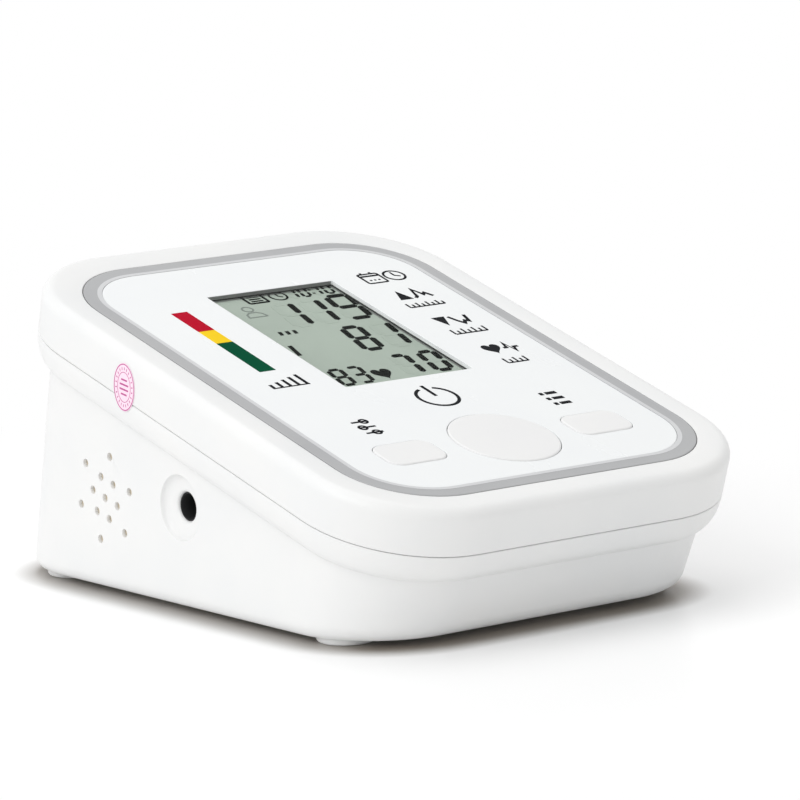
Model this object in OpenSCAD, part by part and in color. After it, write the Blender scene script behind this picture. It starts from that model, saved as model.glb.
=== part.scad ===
// Upper-arm blood pressure monitor console: a wedge-shaped desk unit with a sloping panel.
// X runs to the user's right, Y to the back, Z up. The origin is on the resting surface, under the middle.
// "u, v, n" are panel coordinates: u to the right, v up the slope, n outwards from the panel's face.

/* [Case] */
// Slope of the panel, in degrees
tilt = 16; // [13:0.5:19]
// Height of the panel's middle above the resting surface
panel_rise = 46.8; // [45:0.2:50]
// Width of the rim
rim_w = 100; // [98:0.5:106]
// Length of the rim, along the slope
rim_l = 134.4; // [132:0.5:142]
// Radius of the rim's corners
rim_corner_r = 24.5; // [22:0.5:26]
// Radius of the edge between the rim's top and its side
rim_round = 2.4; // [1:0.1:2.8]
// How far the cover's skirt reaches down, to the parting line
skirt_h = 9.8; // [8.5:0.1:11]
// How much the skirt narrows on its way down, each side
skirt_draft = 0.2; // [0.1:0.05:0.5]
// Wall of both shells
wall = 2.2; // [1.8:0.1:2.5]
// Hairline gap at the parting line
parting_gap = 0.15; // [0.05:0.05:0.3]
// Height of the rounded lip under the parting line
lip_h = 6.6; // [5.5:0.1:7.5]
// How far the lip turns in before the base wall starts
lip_inset = 3.3; // [2.5:0.1:4]
// Height of the tongue that locates the cover on the base
tongue_h = 2.5; // [1.5:0.1:3.5]
// Slope of the base's side walls, in millimetres of draw-in per millimetre
side_lean = 0.02; // [0.01:0.005:0.04]
// Draw-in of the front wall, measured square to the panel
front_lean = 0.18; // [0.1:0.01:0.22]
// Draw-in of the back wall, measured square to the panel
back_lean = 0.07; // [0.03:0.01:0.1]
// Radius of the base's bottom edge
base_round = 3; // [2:0.1:4]

/* [Feet and screws] */
// Height of the gap that the feet leave under the base
foot_h = 1.2; // [0.8:0.1:2]
// Diameter of a foot
foot_d = 11.8; // [10.5:0.1:13]
// Depth of a foot's seat in the base
foot_seat = 0.8; // [0.5:0.1:1.1]
// Sideways place of the case screws
screw_u = 36.9; // [36.5:0.1:37.6]
// Place of the front case screws down the slope
screw_front_v = -44.4; // [-45.4:0.1:-44]
// Place of the back case screws up the slope
screw_back_v = 45.2; // [45:0.1:46]
// Diameter of a case screw
screw_d = 2.9; // [2.5:0.1:3]
// Length of a case screw's shank
screw_l = 12; // [10:0.5:13]
// Diameter of a case screw's head
screw_head_d = 5.4; // [4.8:0.1:5.6]
// Outer diameter of the base's screw posts
post_d = 9; // [8.4:0.1:9.4]

/* [Panel] */
// Width of the trim ring
ring_w = 86; // [84:0.5:88]
// Length of the trim ring
ring_l = 118.5; // [117:0.5:121]
// Radius of the trim ring's outer corners
ring_corner_r = 18; // [15:0.5:20]
// Width of the ring's band
ring_band = 3.9; // [2.5:0.1:4.5]
// Thickness of the ring and of the panel sheet
panel_t = 0.8; // [0.8:0.1:1.2]
// Thickness of the cover plate under the panel sheet
seat_t = 2; // [1.6:0.1:2.2]
// Width of the window
window_w = 32.3; // [31:0.1:33]
// Length of the window
window_l = 48.8; // [48:0.1:51]
// Place of the window's middle up the slope
window_v = 16.3; // [15.6:0.1:17]

/* [Keys] */
// Diameter of the start key
start_d = 22.8; // [22:0.1:24]
// Width of the two small keys
small_key_w = 14.2; // [13:0.1:14.6]
// Length of the two small keys
small_key_l = 9.4; // [8.6:0.1:10]
// Corner radius of the two small keys
small_key_r = 3; // [2:0.1:4]
// Sideways place of the small keys
small_key_u = 23.7; // [23.4:0.1:24]
// Place of the row of keys down the slope
keys_v = -39.3; // [-40:0.1:-38.6]
// How far the keys stand proud of the panel
key_proud = 0.2; // [0.1:0.05:0.4]
// Gap round a key in the panel sheet
key_gap = 0.25; // [0.2:0.05:0.35]
// Travel of a key
key_travel = 0.5; // [0.3:0.05:0.6]
// Width of the flange that keeps a key in
key_flange = 1.2; // [1:0.1:1.3]
// Thickness of that flange
key_flange_t = 1; // [0.8:0.1:1.1]
// Diameter of a key's stem
key_stem_d = 3.2; // [2.6:0.1:3.4]

/* [Board and display] */
// Depth of the board's face under the panel's face
board_drop = 9.6; // [9.4:0.1:10]
// Thickness of the board
board_t = 1.6; // [1.2:0.1:1.6]
// Width of the board
board_w = 62; // [60:0.5:63]
// Lower end of the board along the slope
board_low_v = -48; // [-49:0.5:-47.5]
// Upper end of the board along the slope
board_high_v = 46.5; // [46:0.5:47.5]
// Sideways place of the board screws
board_screw_u = 27.5; // [27:0.1:28]
// Place of the lower board screws
board_screw_low_v = -27.5; // [-28:0.1:-26.5]
// Place of the upper board screws
board_screw_high_v = 42.5; // [41.5:0.1:43]
// Diameter of a board screw
board_screw_d = 2.2; // [1.8:0.1:2.4]
// Thickness of the foam gasket between window and display
gasket_t = 0.4; // [0.3:0.1:1.6]
// Thickness of one of the display's two glasses
glass_t = 1.1; // [0.9:0.05:1.1]
// Margin of the display glass round the window
glass_margin = 2; // [1.5:0.1:2.4]
// Width of the contact ledge at each end of the display
glass_ledge = 3.6; // [3.2:0.1:4]
// Wall of the display frame
frame_wall = 1.6; // [1.2:0.1:2]
// Width of a key switch
switch_w = 6; // [5:0.1:6.4]
// Height of a key switch's body
switch_h = 3.5; // [3.2:0.1:3.6]
// Height of a switch plunger above its body
plunger_h = 0.9; // [0.8:0.05:1]
// Diameter of a switch plunger
plunger_d = 3.5; // [3:0.1:3.8]

/* [Air path] */
// Bore of the air socket
socket_bore_d = 5.2; // [4.6:0.1:5.6]
// Depth of the air socket's bore
socket_depth = 12; // [10:0.5:12]
// Outer diameter of the air socket
socket_d = 9.6; // [8.4:0.1:10]
// Place of the air socket, front to back
socket_y = 2; // [1.6:0.1:2.4]
// Height of the air socket
socket_z = 21.9; // [21.8:0.1:22.8]
// Diameter of the shallow dish round the socket
dish_d = 13.6; // [12:0.1:14.4]
// Depth of that dish
dish_depth = 1.8; // [1:0.1:2]
// Outer diameter of the air tubes
tube_d = 4.6; // [4:0.1:4.8]
// Inner diameter of the air tubes
tube_bore_d = 2.6; // [2.4:0.1:2.8]
// Length of the nipples that the tubes push onto
nipple_l = 4; // [3.5:0.1:4.2]
// Sideways place of the four-way air joint
joint_u = 6; // [4:0.5:8]
// Place of the air joint along the slope
joint_v = -15; // [-16:0.5:-14]
// Depth of the air joint under the panel's face
joint_drop = 26; // [25.6:0.1:26.6]
// Size of the air joint's body
joint_size = 7; // [6.4:0.1:7.4]

/* [Pump] */
// Diameter of the pump motor
motor_d = 24.4; // [23:0.1:24.6]
// Length of the pump motor
motor_l = 28; // [26:0.5:29]
// Diameter of the pump head
head_d = 27; // [26:0.1:27.2]
// Length of the crank case
crank_l = 11; // [10:0.5:12]
// Length of the valve cap
cap_l = 13; // [12:0.5:14]
// Thickness of the diaphragm
diaphragm_t = 1.6; // [1:0.1:2]
// Room between the pump's axis and the inside of the back wall
pump_back_room = 21.1; // [20.5:0.1:22]
// Height of the pump's axis
pump_z = 34; // [33.8:0.1:34.4]
// Place of the pump's right-hand end
pump_end_x = 30; // [29:0.5:30.5]
// Diameter of the motor's shaft
shaft_d = 2; // [1.6:0.1:2.3]
// Running clearance of shafts and pins, on the radius
run_gap = 0.05; // [0.03:0.01:0.09]

/* [Speaker] */
// Diameter of the speaker
speaker_d = 28; // [27:0.1:29]
// Place of the speaker, front to back
speaker_y = 28.4; // [28:0.1:29]
// Height of the speaker
speaker_z = 20.5; // [20:0.1:21.2]
// Diameter of a speaker hole
grille_hole_d = 1.7; // [1.2:0.1:2]
// Radius of the inner ring of holes
grille_inner_r = 4.4; // [4:0.1:5]
// Radius of the outer ring of holes
grille_outer_r = 9.1; // [8.4:0.1:9.6]
// Number of holes in each ring
grille_count = 6; // [5:1:7]

/* [Batteries] */
// Diameter of a cell
cell_d = 14.2; // [13.6:0.1:14.4]
// Length of a cell
cell_l = 50; // [49.4:0.1:50.4]
// Number of cells
cell_count = 4; // [3:1:4]
// Spacing of the cells
cell_pitch = 14.6; // [14.5:0.05:14.7]
// Room for a spring and its plate at a cell's end
spring_room = 4.6; // [4.2:0.1:5]
// Room for a contact plate at the other end
plate_room = 1.2; // [1:0.1:1.4]
// Front end of the battery box, inside
box_front_y = 3; // [2.6:0.1:3.2]
// Wall of the battery box
box_wall = 1.2; // [1:0.1:1.3]
// Thickness of the battery door
door_t = 2; // [1.8:0.1:2.2]
// Gap round the battery door
door_gap = 0.3; // [0.25:0.05:0.4]
// Radius of the door's hinge barrel
hinge_r = 1.5; // [1.3:0.05:1.5]
// Radius of the hinge pins
hinge_pin_r = 0.9; // [0.8:0.05:1]
// Length of a hinge pin
hinge_pin_l = 2.4; // [2:0.1:2.8]

/* [Power inlet] */
// Place of the power inlet, front to back
inlet_y = 24; // [20:0.5:28]
// Height of the power inlet
inlet_z = 12; // [11:0.5:14]
// Width of the inlet's metal shell
inlet_w = 7.6; // [7.2:0.1:8]
// Height of the inlet's metal shell
inlet_h = 2.8; // [2.6:0.1:3]

/* [Hidden] */
$fn = 48;
eps = 0.01;

// ---- levels along the panel's normal, measured from its face ----
seat_low = -panel_t - seat_t;
board_top = -board_drop;
board_low = board_top - board_t;
glass_top = -panel_t - gasket_t;
glass_low = glass_top - 2 * glass_t;
parting_n = -skirt_h - parting_gap;
notch_n = -skirt_h - lip_h;
post_top_n = notch_n - 0.2;
boss_end_n = post_top_n + 0.1;
screw_seat_n = post_top_n - 3;
fit_gap = 0.05;
rim_shift = 1;          // the rim's middle lies this far up the slope from the panel's middle

// ---- outline of the base, from the panel's slope and the walls' lean ----
notch_half_w = rim_w / 2 - skirt_draft - lip_inset;
notch_half_l = rim_l / 2 - skirt_draft - lip_inset;
notch_r = rim_corner_r - skirt_draft - lip_inset;
notch_front_v = rim_shift - notch_half_l;
notch_back_v = rim_shift + notch_half_l;
function wall_depth(v, lean, z) =
    (panel_rise + v * sin(tilt) + notch_n * cos(tilt) - z) / (cos(tilt) - lean * sin(tilt));
function wall_y(v, lean, z) =
    let (d = wall_depth(v, lean, z)) (v + lean * d) * cos(tilt) + (d - notch_n) * sin(tilt);
function front_y(z) = wall_y(notch_front_v, front_lean, z);
function back_y(z) = wall_y(notch_back_v, -back_lean, z);
// the panel is moved along Y so that the middle of the whole lies over the origin
rim_front_y = (rim_shift - rim_l / 2 + rim_round) * cos(tilt) + rim_round * sin(tilt) - rim_round;
panel_y = -(rim_front_y + back_y(foot_h + base_round)) / 2;
front_depth = wall_depth(notch_front_v, front_lean, foot_h);
back_depth = wall_depth(notch_back_v, -back_lean, foot_h);
mean_depth = (front_depth + back_depth) / 2;
base_half_w = notch_half_w - side_lean * mean_depth;
floor_z = foot_h + wall;

function on_slope(u, v, n) =
    [u, panel_y + v * cos(tilt) - n * sin(tilt), panel_rise + v * sin(tilt) + n * cos(tilt)];
// where a line square to the panel meets a level
function axis_y(v, z) = panel_y + v * cos(tilt) - (z - panel_rise - v * sin(tilt)) * tan(tilt);
function level_n(v, z) = (z - panel_rise - v * sin(tilt)) / cos(tilt);
slope_up = [0, cos(tilt), sin(tilt)];

// ---- air path ----
nipple_r = tube_bore_d / 2 - fit_gap;
nipple_hole_r = nipple_r - 0.5;
joint_half = joint_size / 2;
socket_x = -(base_half_w - dish_depth - 1.6);
socket_end_x = socket_x + socket_depth + 1.2;
valve_x = joint_u + joint_half + 2 * nipple_l + 2.5;
valve_l = 17;
valve_size = 14;
valve_bore_r = 2.5;
valve_travel = 0.8;
leak_v = joint_v - joint_half - 2 * nipple_l - 1.5;
leak_l = 10;
leak_d = 8;
sensor_h = 3.5;
sensor_nipple_l = 3;

// ---- pump, along X ----
pump_y = panel_y + back_y(pump_z) - wall - pump_back_room;
motor_x = pump_end_x - motor_l;
crank_x = motor_x - crank_l;
diaphragm_x = crank_x - diaphragm_t;
cap_x = diaphragm_x - cap_l;
can_wall = 0.8;
motor_cap_t = 2;
magnet_t = 2.2;
armature_r = motor_d / 2 - can_wall - magnet_t - 0.5;
strap_x = motor_x + motor_l / 2;
strap_w = 6;
strap_t = 1.2;
strap_ear = 6;
strap_screw_y = motor_d / 2 + strap_t + strap_ear / 2;
damper_t = 1;
crank_throw = 2.6;
damper_w = 5;
damper_xs = [motor_x + 4, pump_end_x - 5 - damper_w];
terminal_out = 8;
terminal_gap = 5;
terminal_l = 3;
strap_foot = 6;
strap_screw_r = 1.1;
strap_screw_l = 7;
saddle_w = 20;

// ---- batteries: cells lie across, one behind the other ----
door_z = foot_h + 0.2;
door_top = door_z + door_t;
cell_r = cell_d / 2;
cell_z = door_top + 0.3 + cell_r;
pocket_top = cell_z + cell_r + 0.2;
box_top = pocket_top + box_wall;
box_half = (cell_l + spring_room + plate_room) / 2;
box_back_y = box_front_y + cell_count * cell_pitch + 0.6;
contact_t = 0.4;
nub_l = 1.2;
hinge_y = box_front_y + door_gap + hinge_r;
hinge_z = door_z + hinge_r;
cheek_w = 3.4;
function cell_y(i) = box_front_y + 0.3 + cell_pitch * (i + 0.5);

// ---- speaker and inlet ----
speaker_x = -(base_half_w - wall);
speaker_h = 5;
inlet_x = base_half_w - 1;
inlet_l = 5.6;
inlet_board_t = 1.2;
inlet_side_room = 4.5;
inlet_board_l = base_half_w - wall - box_half - box_wall - inlet_side_room;
inlet_board_w = 12;
inlet_board_z = inlet_z - inlet_h / 2 - inlet_board_t - fit_gap;

// ---- shared shapes ----
module on_panel() translate([0, panel_y, panel_rise]) rotate([tilt, 0, 0]) children();
module along_x(x, y, z) translate([x, y, z]) rotate([0, 90, 0]) children();
module along_slope(u, v, n) translate([u, v, n]) rotate([-90, 0, 0]) children();

// rectangle with round corners, centred
module rounded(w, l, r) {
    square([w - 2 * r, l], center = true);
    square([w, l - 2 * r], center = true);
    for (x = [-1, 1], y = [-1, 1])
        translate([x * (w / 2 - r), y * (l / 2 - r)])
            circle(r);
}

module rounded_plate(w, l, r, low, high, v = 0) {
    translate([0, v, low])
        linear_extrude(high - low)
            rounded(w, l, r);
}

// thin slice of the rim's outline, drawn in by "inset"
module rim_slice(inset, n) {
    rounded_plate(rim_w - 2 * inset, rim_l - 2 * inset, rim_corner_r - inset,
                  n - eps, n, rim_shift, $fn = 32);
}

// thin level slice of the base's outline, drawn in by "inset"
module base_slice(inset, z) {
    front = panel_y + front_y(z) + inset;
    back = panel_y + back_y(z) - inset;
    translate([0, (front + back) / 2, z])
        linear_extrude(eps)
            rounded(2 * (base_half_w - inset), back - front, notch_r - inset, $fn = 32);
}

module ring_along_x(r_out, r_in, l) {
    difference() {
        cylinder(r = r_out, h = l);
        translate([0, 0, -1])
            cylinder(r = r_in, h = l + 2);
    }
}

// a pipe stub that a tube pushes onto, with the hole through it
module nipple(l, root = 0) {
    translate([0, 0, -root])
        difference() {
            cylinder(r = nipple_r, h = l + root);
            translate([0, 0, -1])
                cylinder(r = nipple_hole_r, h = l + root + 2);
        }
}

// ---- routes and swept tubes ----
function unit(a) = a / norm(a);
function bezier(c, t) =
    pow(1 - t, 3) * c[0] + 3 * pow(1 - t, 2) * t * c[1] + 3 * (1 - t) * t * t * c[2] + pow(t, 3) * c[3];
// leaves "from" along "go" and reaches "to" against "come", straight for "lead" at both ends
function route(from, go, to, come, lead, pull, steps) =
    let (a = from + go * lead, b = to + come * lead, c = [a, a + go * pull, b + come * pull, b])
    concat([from], [for (i = [0:steps]) bezier(c, i / steps)], [to]);
function tangent(path, i) = unit(path[min(i + 1, len(path) - 1)] - path[max(i - 1, 0)]);
function side_of(path, i) =
    let (t = tangent(path, i),
         s = i == 0 ? cross(t, abs(t.z) < 0.9 ? [0, 0, 1] : [1, 0, 0]) : side_of(path, i - 1))
    unit(s - (s * t) * t);
function tube_ring(path, i, r, sides) =
    let (t = tangent(path, i), s = side_of(path, i), w = cross(t, s))
    [for (k = [0:sides - 1]) path[i] + r * (cos(360 * k / sides) * s + sin(360 * k / sides) * w)];

module swept(path, r, sides = 8) {
    rings = len(path);
    points = [for (i = [0:rings - 1]) each tube_ring(path, i, r, sides)];
    walls = [for (i = [0:rings - 2], k = [0:sides - 1])
        let (a = i * sides + k, b = i * sides + (k + 1) % sides)
        each [[a, a + sides, b], [b, a + sides, b + sides]]];
    start = [for (k = [0:sides - 1]) k];
    end = [for (k = [sides - 1:-1:0]) (rings - 1) * sides + k];
    polyhedron(points = points, faces = concat(walls, [start], [end]));
}

module hose(path) {
    last = len(path) - 1;
    longer = concat(
        [path[0] - tangent(path, 0)],
        [for (i = [1:last - 1]) path[i]],
        [path[last] + tangent(path, last)]);
    difference() {
        swept(path, tube_d / 2, 12);
        swept(longer, tube_bore_d / 2, 12);
    }
}

module straight_hose(l) {
    difference() {
        cylinder(d = tube_d, h = l);
        translate([0, 0, -1])
            cylinder(d = tube_bore_d, h = l + 2);
    }
}

// ---- covers ----
module rim_outer() {
    hull() {
        for (a = [0:22.5:90])
            rim_slice(rim_round * (1 - cos(a)), -rim_round * (1 - sin(a)));
        rim_slice(skirt_draft, -skirt_h + eps);
    }
}

module screw_places(u, low_v, high_v) {
    for (x = [-u, u], v = [low_v, high_v])
        translate([x, v, 0])
            children();
}

module key_holes(extra, low, high) {
    translate([0, keys_v, low])
        cylinder(d = start_d + 2 * extra, h = high - low, $fn = 96);
    for (u = [-small_key_u, small_key_u])
        translate([u, 0, 0])
            rounded_plate(small_key_w + 2 * extra, small_key_l + 2 * extra, small_key_r + extra,
                          low, high, keys_v);
}

module window_block(margin, low, high) {
    translate([-window_w / 2 - margin, window_v - window_l / 2 - margin, low])
        cube([window_w + 2 * margin, window_l + 2 * margin, high - low]);
}

module top_cover() color("white") on_panel() {
    difference() {
        union() {
            difference() {
                rim_outer();
                rounded_plate(rim_w - 2 * wall - 2 * skirt_draft, rim_l - 2 * wall - 2 * skirt_draft,
                              rim_corner_r - wall - skirt_draft, -skirt_h - 1, seat_low, rim_shift);
            }
            screw_places(screw_u, screw_front_v, screw_back_v)
                translate([0, 0, boss_end_n])
                    cylinder(r = screw_d / 2 + 1.9, h = seat_low - boss_end_n + 0.5);
            screw_places(board_screw_u, board_screw_low_v, board_screw_high_v)
                translate([0, 0, board_top])
                    cylinder(r = board_screw_d / 2 + 1.5, h = seat_low - board_top + 0.5);
        }
        rounded_plate(ring_w + 2 * fit_gap, ring_l + 2 * fit_gap, ring_corner_r + fit_gap, -panel_t, 1);
        key_holes(key_gap, seat_low - 1, 0);
        window_block(glass_margin + 0.2, seat_low - 1, 0);
        screw_places(screw_u, screw_front_v, screw_back_v)
            translate([0, 0, boss_end_n - 1])
                cylinder(r = screw_d / 2 + 0.02, h = screw_l);
        screw_places(board_screw_u, board_screw_low_v, board_screw_high_v)
            translate([0, 0, board_top - 1])
                cylinder(r = board_screw_d / 2 + 0.02, h = 6.2);
    }
}

module trim_ring() color("silver") on_panel() difference() {
    rounded_plate(ring_w, ring_l, ring_corner_r, -panel_t, 0);
    rounded_plate(ring_w - 2 * ring_band, ring_l - 2 * ring_band, ring_corner_r - ring_band,
                  -panel_t - 1, 1);
}

module face_panel() color("whitesmoke") on_panel() difference() {
    rounded_plate(ring_w - 2 * ring_band - 2 * fit_gap, ring_l - 2 * ring_band - 2 * fit_gap,
                  ring_corner_r - ring_band - fit_gap, -panel_t, 0);
    key_holes(key_gap, -panel_t - 1, 1);
    window_block(0, -panel_t - 1, 1);
}

module window_pane() color("lightcyan", 0.4) on_panel() window_block(0, -panel_t, 0);

module window_gasket() color("dimgray") on_panel() difference() {
    window_block(glass_margin, glass_top, -panel_t);
    window_block(0, glass_top - 1, 0);
}

// ---- display ----
module display_glass() color("darkseagreen") on_panel() {
    glass_w = window_w + 2 * glass_margin;
    back_glass_l = window_l + 2 * glass_margin - 2 * glass_ledge;
    window_block(glass_margin, glass_top - glass_t, glass_top);
    translate([-glass_w / 2, window_v - back_glass_l / 2, glass_low])
        cube([glass_w, back_glass_l, glass_t]);
}

strip_w = 2.2;
strip_l = window_w;
function strip_v(side) = window_v + side * (window_l / 2 + glass_margin - glass_ledge / 2);

module contact_strips() color("deeppink") on_panel()
    for (side = [-1, 1])
        translate([-strip_l / 2, strip_v(side) - strip_w / 2, board_top])
            cube([strip_l, strip_w, glass_top - glass_t - board_top]);

module display_frame() color("ivory") on_panel() difference() {
    window_block(glass_margin + frame_wall, board_top, seat_low - 0.1);
    window_block(glass_margin + 0.1, glass_low, 0);
    window_block(-1.5 - glass_ledge, board_top - 1, 0);
    for (side = [-1, 1])
        translate([-strip_l / 2 - 0.1, strip_v(side) - strip_w / 2 - 0.1, board_top - 1])
            cube([strip_l + 0.2, strip_w + 0.2, 20]);
}

// ---- keys ----
flange_top = seat_low - 0.1;
stem_end = board_top + switch_h + plunger_h + fit_gap;

module key_stem() {
    translate([0, keys_v, stem_end])
        cylinder(d = key_stem_d, h = flange_top - stem_end);
}

module start_key() color("white") on_panel() {
    translate([0, keys_v, flange_top - key_flange_t])
        cylinder(d = start_d + 2 * key_flange, h = key_flange_t);
    translate([0, keys_v, flange_top - key_flange_t])
        cylinder(d = start_d, h = key_proud - flange_top + key_flange_t, $fn = 96);
    key_stem();
}

module small_key(u) on_panel() translate([u, 0, 0]) {
    rounded_plate(small_key_w + 2 * key_flange, small_key_l + 2 * key_flange, small_key_r + key_flange,
                  flange_top - key_flange_t, flange_top, keys_v);
    rounded_plate(small_key_w, small_key_l, small_key_r, flange_top - key_flange_t, key_proud, keys_v);
    key_stem();
}

module set_key() color("white") small_key(-small_key_u);
module memory_key() color("white") small_key(small_key_u);

key_us = [0, -small_key_u, small_key_u];
plunger_root = board_top + 0.8;
plunger_run_gap = 0.08;

module switch_bodies() color("darkslategray") on_panel()
    for (u = key_us)
        translate([u, keys_v, board_top])
            difference() {
                translate([-switch_w / 2, -switch_w / 2, 0])
                    cube([switch_w, switch_w, switch_h]);
                translate([0, 0, 0.2])
                    cylinder(d = plunger_d + 2 * plunger_run_gap, h = switch_h);
            }

module plunger(u) on_panel()
    translate([u, keys_v, plunger_root + key_travel - 0.5])
        cylinder(d = plunger_d, h = board_top + switch_h + plunger_h - plunger_root - key_travel + 0.5);

module start_plunger() color("black") plunger(0);
module set_plunger() color("black") plunger(-small_key_u);
module memory_plunger() color("black") plunger(small_key_u);

// ---- board ----
module main_board() color("darkgreen") on_panel() difference() {
    translate([-board_w / 2, board_low_v, board_low])
        cube([board_w, board_high_v - board_low_v, board_t]);
    screw_places(board_screw_u, board_screw_low_v, board_screw_high_v)
        translate([0, 0, board_low - 1])
            cylinder(d = board_screw_d + 0.4, h = board_t + 2);
}

module board_block(u, v, w, l, h) {
    translate([u - w / 2, v - l / 2, board_low - h])
        cube([w, l, h]);
}

module board_chips() color("black") on_panel() {
    board_block(-10, 12, 12, 12, 1.6);
    board_block(8, 8, 5, 6, 1.5);
    board_block(-18, -4, 4, 3, 1.2);
    board_block(-12, -8, 3, 1.6, 0.9);
    board_block(-4, -6, 3, 1.6, 0.9);
    board_block(16, -2, 3, 1.6, 0.9);
    translate([-20, 4, board_low - 3.5])
        cylinder(d = 5, h = 3.5);
}

lead_sockets = [[-24, 22], [24, 24], [27, -16], [24, 12]];
lead_socket_h = 3.4;
module wire_sockets() color("ivory") on_panel()
    for (p = lead_sockets)
        board_block(p.x, p.y, 6, 4, lead_socket_h);

module board_screws() color("gray") on_panel()
    screw_places(board_screw_u, board_screw_low_v, board_screw_high_v) {
        translate([0, 0, board_low])
            cylinder(d = board_screw_d, h = board_t + 4.5);
        translate([0, 0, board_low - 1.4])
            cylinder(d = board_screw_d * 1.8, h = 1.4);
    }

module pressure_sensor() color("dimgray") on_panel() {
    difference() {
        board_block(joint_u, joint_v, 8, 8, sensor_h);
        translate([joint_u, joint_v, board_low - sensor_h - 1])
            cylinder(r = nipple_hole_r, h = 2);
    }
    translate([joint_u, joint_v, board_low - sensor_h - sensor_nipple_l])
        nipple(sensor_nipple_l);
}

// ---- base shell ----
// slice of the rounded lip, at the angle "a" of its turn
module lip_slice(inset, a) {
    rim_slice(skirt_draft + inset + lip_inset * (1 - cos(a)), parting_n - (lip_h - parting_gap) * sin(a));
}

module base_outer() {
    on_panel()
        hull()
            for (a = [0:15:90])
                lip_slice(0, a);
    hull() {
        on_panel()
            rim_slice(skirt_draft + lip_inset, notch_n + 1.5);
        for (a = [0:22.5:90])
            base_slice(base_round * (1 - cos(a)), foot_h + base_round * (1 - sin(a)));
    }
}

// angle at which the lip's inside reaches the shelf
shelf_a = asin((lip_h - wall) / lip_h);
module base_inner() {
    on_panel()
        hull() {
            rim_slice(skirt_draft + wall, parting_n + 1);
            for (a = [6, shelf_a / 2, shelf_a])
                lip_slice(wall, a);
        }
    hull() {
        on_panel()
            rim_slice(skirt_draft + wall + lip_inset, notch_n + wall + 0.5);
        base_slice(wall, floor_z);
    }
}

tongue_root = 1.5;
tongue_out = wall + skirt_draft + 0.15;
tongue_in = wall + skirt_draft + 1.3;
module locating_tongue() on_panel() difference() {
    rounded_plate(rim_w - 2 * tongue_out, rim_l - 2 * tongue_out, rim_corner_r - tongue_out,
                  parting_n - tongue_root, parting_n + tongue_h, rim_shift);
    rounded_plate(rim_w - 2 * tongue_in, rim_l - 2 * tongue_in, rim_corner_r - tongue_in,
                  parting_n - 2 * tongue_root, parting_n + tongue_h + 1, rim_shift);
}

// a block under something that hangs square to the panel; it ends inside the floor
module rest_block(u, v, w, l, top) {
    low = level_n(v, floor_z - wall / 2);
    translate([u - w / 2, v - l / 2, low])
        cube([w, l, top - low]);
}

// posts and boxes that stand on the floor or grow from the walls
in_floor_z = foot_h + 0.6;
wall_mid_x = base_half_w - wall / 2;
module inside_features() {
    on_panel() {
        for (x = [-screw_u, screw_u], v = [screw_front_v, screw_back_v])
            translate([x, v, level_n(v, foot_h + foot_seat)])
                cylinder(d = post_d, h = post_top_n - level_n(v, foot_h + foot_seat));
        // rests of the air joint, the leak valve and the exhaust valve
        rest_block(joint_u, joint_v, 5, 5, -joint_drop - joint_half);
        rest_block(joint_u, leak_v - leak_l / 2, 4, leak_l - 5, -joint_drop - leak_d / 2);
        rest_block(valve_x + valve_l / 2, joint_v, valve_l - 4, 7, -joint_drop - valve_size / 2);
    }
    // battery box
    translate([-box_half - box_wall, box_front_y - box_wall, in_floor_z])
        cube([2 * (box_half + box_wall), box_back_y - box_front_y + 2 * box_wall, box_top - in_floor_z]);
    // cheeks that hold the door's pins
    for (side = [-1, 1])
        translate([side * (box_half + cheek_w / 2) - cheek_w / 2, hinge_y - 3, in_floor_z])
            cube([cheek_w, 6, hinge_z + 3 - in_floor_z]);
    // pump saddles and strap posts
    for (x = damper_xs)
        translate([x, pump_y - saddle_w / 2, box_top - 1])
            cube([damper_w, saddle_w, pump_z - 6 - box_top + 1]);
    translate([strap_x - strap_w / 2, pump_y - strap_screw_y - strap_foot / 2, box_top - 1])
        cube([strap_w, 2 * strap_screw_y + strap_foot, pump_z - box_top + 1]);
    // ring round the speaker and boss behind the dish
    along_x(-wall_mid_x, speaker_y, speaker_z)
        cylinder(d = speaker_d + 3, h = wall_mid_x + speaker_x + speaker_h);
    along_x(-wall_mid_x, socket_y, socket_z)
        cylinder(d = dish_d + 3.4, h = wall_mid_x + socket_x);
    // shelf under the inlet's board
    translate([base_half_w - wall - inlet_board_l, inlet_y - inlet_board_w / 2, in_floor_z])
        cube([inlet_board_l + wall / 2, inlet_board_w, inlet_board_z - in_floor_z]);
}

function turn(r, a) = r * [cos(a), sin(a)];
grille = concat(
    [[0, 0]],
    [for (i = [0:grille_count - 1]) turn(grille_inner_r, 360 * i / grille_count + 15)],
    [for (i = [0:grille_count - 1]) turn(grille_outer_r, 360 * i / grille_count - 15)]);

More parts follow.
